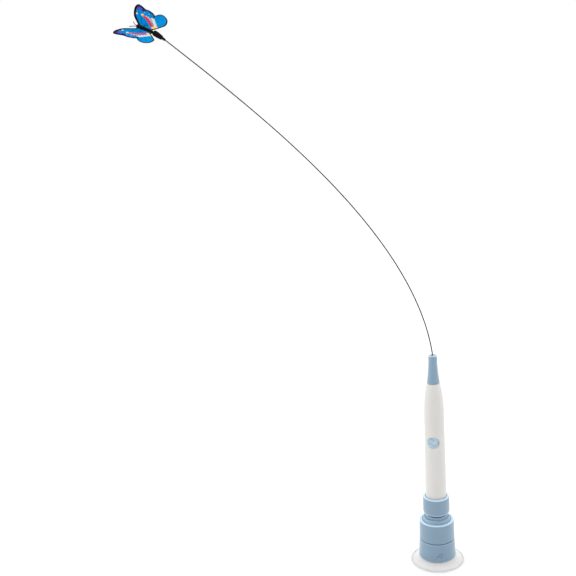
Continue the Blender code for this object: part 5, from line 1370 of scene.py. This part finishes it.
# %% The print's colours and marks
GROUND, DEEP, SKY = srgb(4, 127, 192), srgb(0, 100, 168), srgb(24, 150, 214)
NAVY, VEIN, VIOLET = srgb(44, 34, 100), srgb(6, 66, 128), srgb(104, 110, 190)
RED, SALMON, YELLOW = srgb(194, 22, 46), srgb(236, 92, 76), srgb(246, 190, 84)
PALE, INK, MIST = srgb(200, 196, 192), srgb(18, 15, 22), srgb(120, 196, 226)
DEEP_SHARE, SKY_SHARE = 0.35, 0.22
VEIN_ROOT = (3.0, 6.0)
VEIN_ENDS = ((22.0, 22.0), (22.5, 32.0), (15.5, 35.0), (8.0, 34.5), (2.0, 31.0), (-7.0, 33.5),
             (-13.0, 30.0), (-16.0, 22.0))


def spots(tone, blur, *rows):
    """Round marks of one colour from (u, v, size) rows."""
    return [((u, v), size, tone, blur) for u, v, size in rows]


# Each mark: the (u, v) points of its line, or its one spot, then its width, colour and blur
PRINT_MARKS = [
    *[((VEIN_ROOT, vein_end), 0.16, VEIN, 0.7) for vein_end in VEIN_ENDS],
    (((8.0, 8.0), (10.5, 14.5), (12.6, 19.8)), 0.45, VEIN, 0.9),
    (((-0.5, 8.6), (3.4, 11.5)), 0.5, VEIN, 0.8),
    (((26.6, 31.5), (25.4, 39.0), (20.4, 38.4), (15.0, 34.6)), 3.0, NAVY, 2.2),
    (((22.6, 33.0), (22.0, 37.0)), 2.6, NAVY, 2.0),
    (((25.8, 27.5), (27.5, 33.0)), 1.7, NAVY, 1.6),
    (((19.0, 38.5), (9.0, 36.0), (2.0, 32.8)), 1.3, NAVY, 1.4),
    (((-0.3, 24.7), (-2.4, 22.6), (-4.5, 18.9), (-7.0, 15.6), (-8.9, 12.0)), 1.75, PALE, 0.8),
    (((10.2, 23.4), (5.4, 20.8), (1.0, 17.0), (-3.4, 12.4), (-7.2, 8.6)), 1.3, RED, 0.6),
    *spots(RED, 0.6, (8.6, 22.2, 1.25), (5.6, 19.8, 1.25), (2.6, 17.2, 1.25), (-0.6, 13.8, 1.25),
           (-3.4, 10.8, 1.25)),
    *spots(SALMON, 0.7, (8.6, 23.9, 0.9), (5.0, 21.9, 0.9), (1.8, 19.2, 0.9), (-1.0, 16.2, 0.9),
           (-4.0, 13.2, 0.9)),
    *spots(YELLOW, 0.6, (8.0, 25.3, 0.8), (5.3, 24.4, 1.0), (2.6, 22.8, 1.0), (0.4, 21.2, 0.9),
           (-1.8, 18.6, 0.8), (20.4, 24.0, 1.3), (13.3, 25.4, 1.7)),
    (((12.0, 24.4), (11.2, 23.8)), 1.0, SALMON, 0.7),
    (((-10.6, 10.8), (-7.0, 8.6)), 1.9, YELLOW, 0.6),
    (((-0.5, 32.5), (-0.5, 26.4)), 0.75, INK, 0.5),
    *spots(VIOLET, 1.0, (21.6, 34.0, 1.0), (24.2, 35.4, 1.0), (21.8, 30.4, 0.8),
           (18.6, 35.2, 0.8), (23.6, 31.8, 0.7), (21.2, 36.6, 0.7)),
    *spots(MIST, 0.8, (12.8, 30.7, 0.7), (6.9, 30.8, 0.7)),
]


def wing_print(points):
    """The colour at each (u, v): the ground goes to DEEP by the share (v - 6) / 40 of the way
    out and to SKY by the share (-4 - u) / 6 backwards, and the marks lie over it."""
    outwards = np.clip((points[..., 1] - 6) / 40, 0, 1)[..., None]
    colour = GROUND + outwards * DEEP_SHARE * (DEEP - GROUND)
    backwards = np.clip((-4 - points[..., 0]) / 6, 0, 1)[..., None]
    colour = colour + backwards * SKY_SHARE * (SKY - colour)
    for spot, width, tone, blur in PRINT_MARKS:
        colour = dab(colour, points, spot, width, tone, blur)
    return np.clip(colour, 0, 1)


print("marks in the print:", len(PRINT_MARKS))

# %% [markdown]
# One grid makes a wing: its rows go out over the top, round the edge and back in underneath. The
# print is looked up at each point's own (u, v). The margin's distance is taken shorter along the
# first five outline points, so that the leading edge gets a wider margin, and there is none by
# the root.

# %% Wings
WING_ROWS = 84
LEADING_POINTS, LEADING_SHARE = 5, 0.6
ROOT_END, NO_MARGIN = 4.3, 9.0


def make_wing(name, side):
    """side is 1 for the left wing and -1 for the right one."""
    out = leftwards * side * math.cos(DIHEDRAL) + upwards * math.sin(DIHEDRAL)
    normal = np.cross(ahead, out) * side
    share = np.linspace(0, 1, WING_ROWS)[:, None, None]
    flat = WING_HEART + share * (outline - WING_HEART)
    lift = film_height(flat[..., 0], flat[..., 1])
    both = np.concatenate([flat, flat[::-1]])
    half = FILM_THICKNESS / 2
    w = np.concatenate([lift + half, lift[::-1] - half])
    grid = wing_origin + both[..., :1] * ahead + both[..., 1:] * out + w[..., None] * normal
    wing = surface(name, [(grid, False, True)])
    spot = np.empty(len(wing.data.vertices) * 3, np.float32)
    wing.data.vertices.foreach_get("co", spot)
    local = spot.reshape(-1, 3) / MM - wing_origin
    flat = np.stack([local @ ahead, local @ out], axis=-1)
    colour = np.ones((len(flat), 4), np.float32)
    colour[:, :3] = wing_print(flat)
    layer = wing.data.color_attributes.new("print", "FLOAT_COLOR", "POINT")
    layer.data.foreach_set("color", colour.ravel())
    edge = np.vstack([outline, outline[:1]])
    leading = far_from(flat, WING_EDGE[:LEADING_POINTS])
    reach = np.minimum(far_from(flat, edge), LEADING_SHARE * leading)
    reach = np.where(flat[:, 1] > ROOT_END, reach, NO_MARGIN)
    margin = wing.data.attributes.new("margin", "FLOAT", "POINT")
    margin.data.foreach_set("value", reach.astype(np.float32))
    return wing


for title, side in (("left", 1), ("right", -1)):
    dress(make_wing("film_wing_" + title, side), FILM, "head", "wing_" + title)

# %% [markdown]
# ## Feelers
# Two thin wires curve forwards and apart, each with a small knob. They don't lie in a plane of
# constant y as the long wire does, so its helper doesn't suit them: here each ring stands on the
# feeler's direction and the butterfly's up.

# %% Feelers
FEELER_ROOT = 0.91
FEELER_START, FEELER_REACH = 2.4, 8.3
FEELER_SPREAD, FEELER_BEND, FEELER_LIFT = 24, 16, math.radians(2)
FEELER_THICK, FEELER_KNOB = 0.42, 0.12


def make_feeler(name, side):
    """Rings along a short curve whose direction turns outwards from FEELER_SPREAD by FEELER_BEND
    degrees. The radius swells by a Gauss curve near the tip."""
    share = np.linspace(0, 1, 48)[:, None]
    spread = np.radians(FEELER_SPREAD + FEELER_BEND * share)
    lift = ahead * math.cos(FEELER_LIFT) + upwards * math.sin(FEELER_LIFT)
    way = lift * np.cos(spread) + leftwards * side * np.sin(spread)
    head = fly_origin + ahead * ((TAIL_LENGTH + HEAD_LENGTH) * FEELER_ROOT - TAIL_LENGTH)
    path = head + way * (FEELER_START + FEELER_REACH * share)
    along = np.gradient(path, axis=0)
    along /= np.linalg.norm(along, axis=1, keepdims=True)
    one = np.cross(along, upwards)
    one /= np.linalg.norm(one, axis=1, keepdims=True)
    two = np.cross(along, one)
    angle = 2 * math.pi * np.arange(12) / 12
    thick = FEELER_THICK + FEELER_KNOB * np.exp(-((share - 0.95) / 0.06) ** 2)
    grid = (path[:, None] + thick[..., None] * (np.cos(angle)[None, :, None] * one[:, None]
                                                + np.sin(angle)[None, :, None] * two[:, None]))
    return surface(name, [(capped(grid), False, True)])


for title, side in (("left", 1), ("right", -1)):
    dress(make_feeler("feeler_" + title, side), RUBBER, "head", "antenna_" + title)

# %% [markdown]
# ## Solids that stay
# What is hidden inside keeps its solid, and only its finish is new.

# %% Finishes for the solids
KEPT = {
    NYLON: ("suction_stud", "ball_washer", "inner_frame", "gearbox_base", "gearbox_top",
            "side_gear_low", "centre_gear", "side_gear_high", "output_gear"),
    STEEL: ("cross_pin", "spring_washer", "clamp_screw", "tact_switch", "motor_can",
            "gearbox_post_left", "gearbox_post_right", "side_axle", "output_shaft"),
    BRASS: ("motor_pinion", "nose_bush"),
    BOARD: ("circuit_board",),
    CELL: ("battery",),
}
for paint, names in KEPT.items():
    for name in names:
        for slot in NODES[name].material_slots:
            slot.material = paint
print("solids kept:", sum(len(names) for names in KEPT.values()))
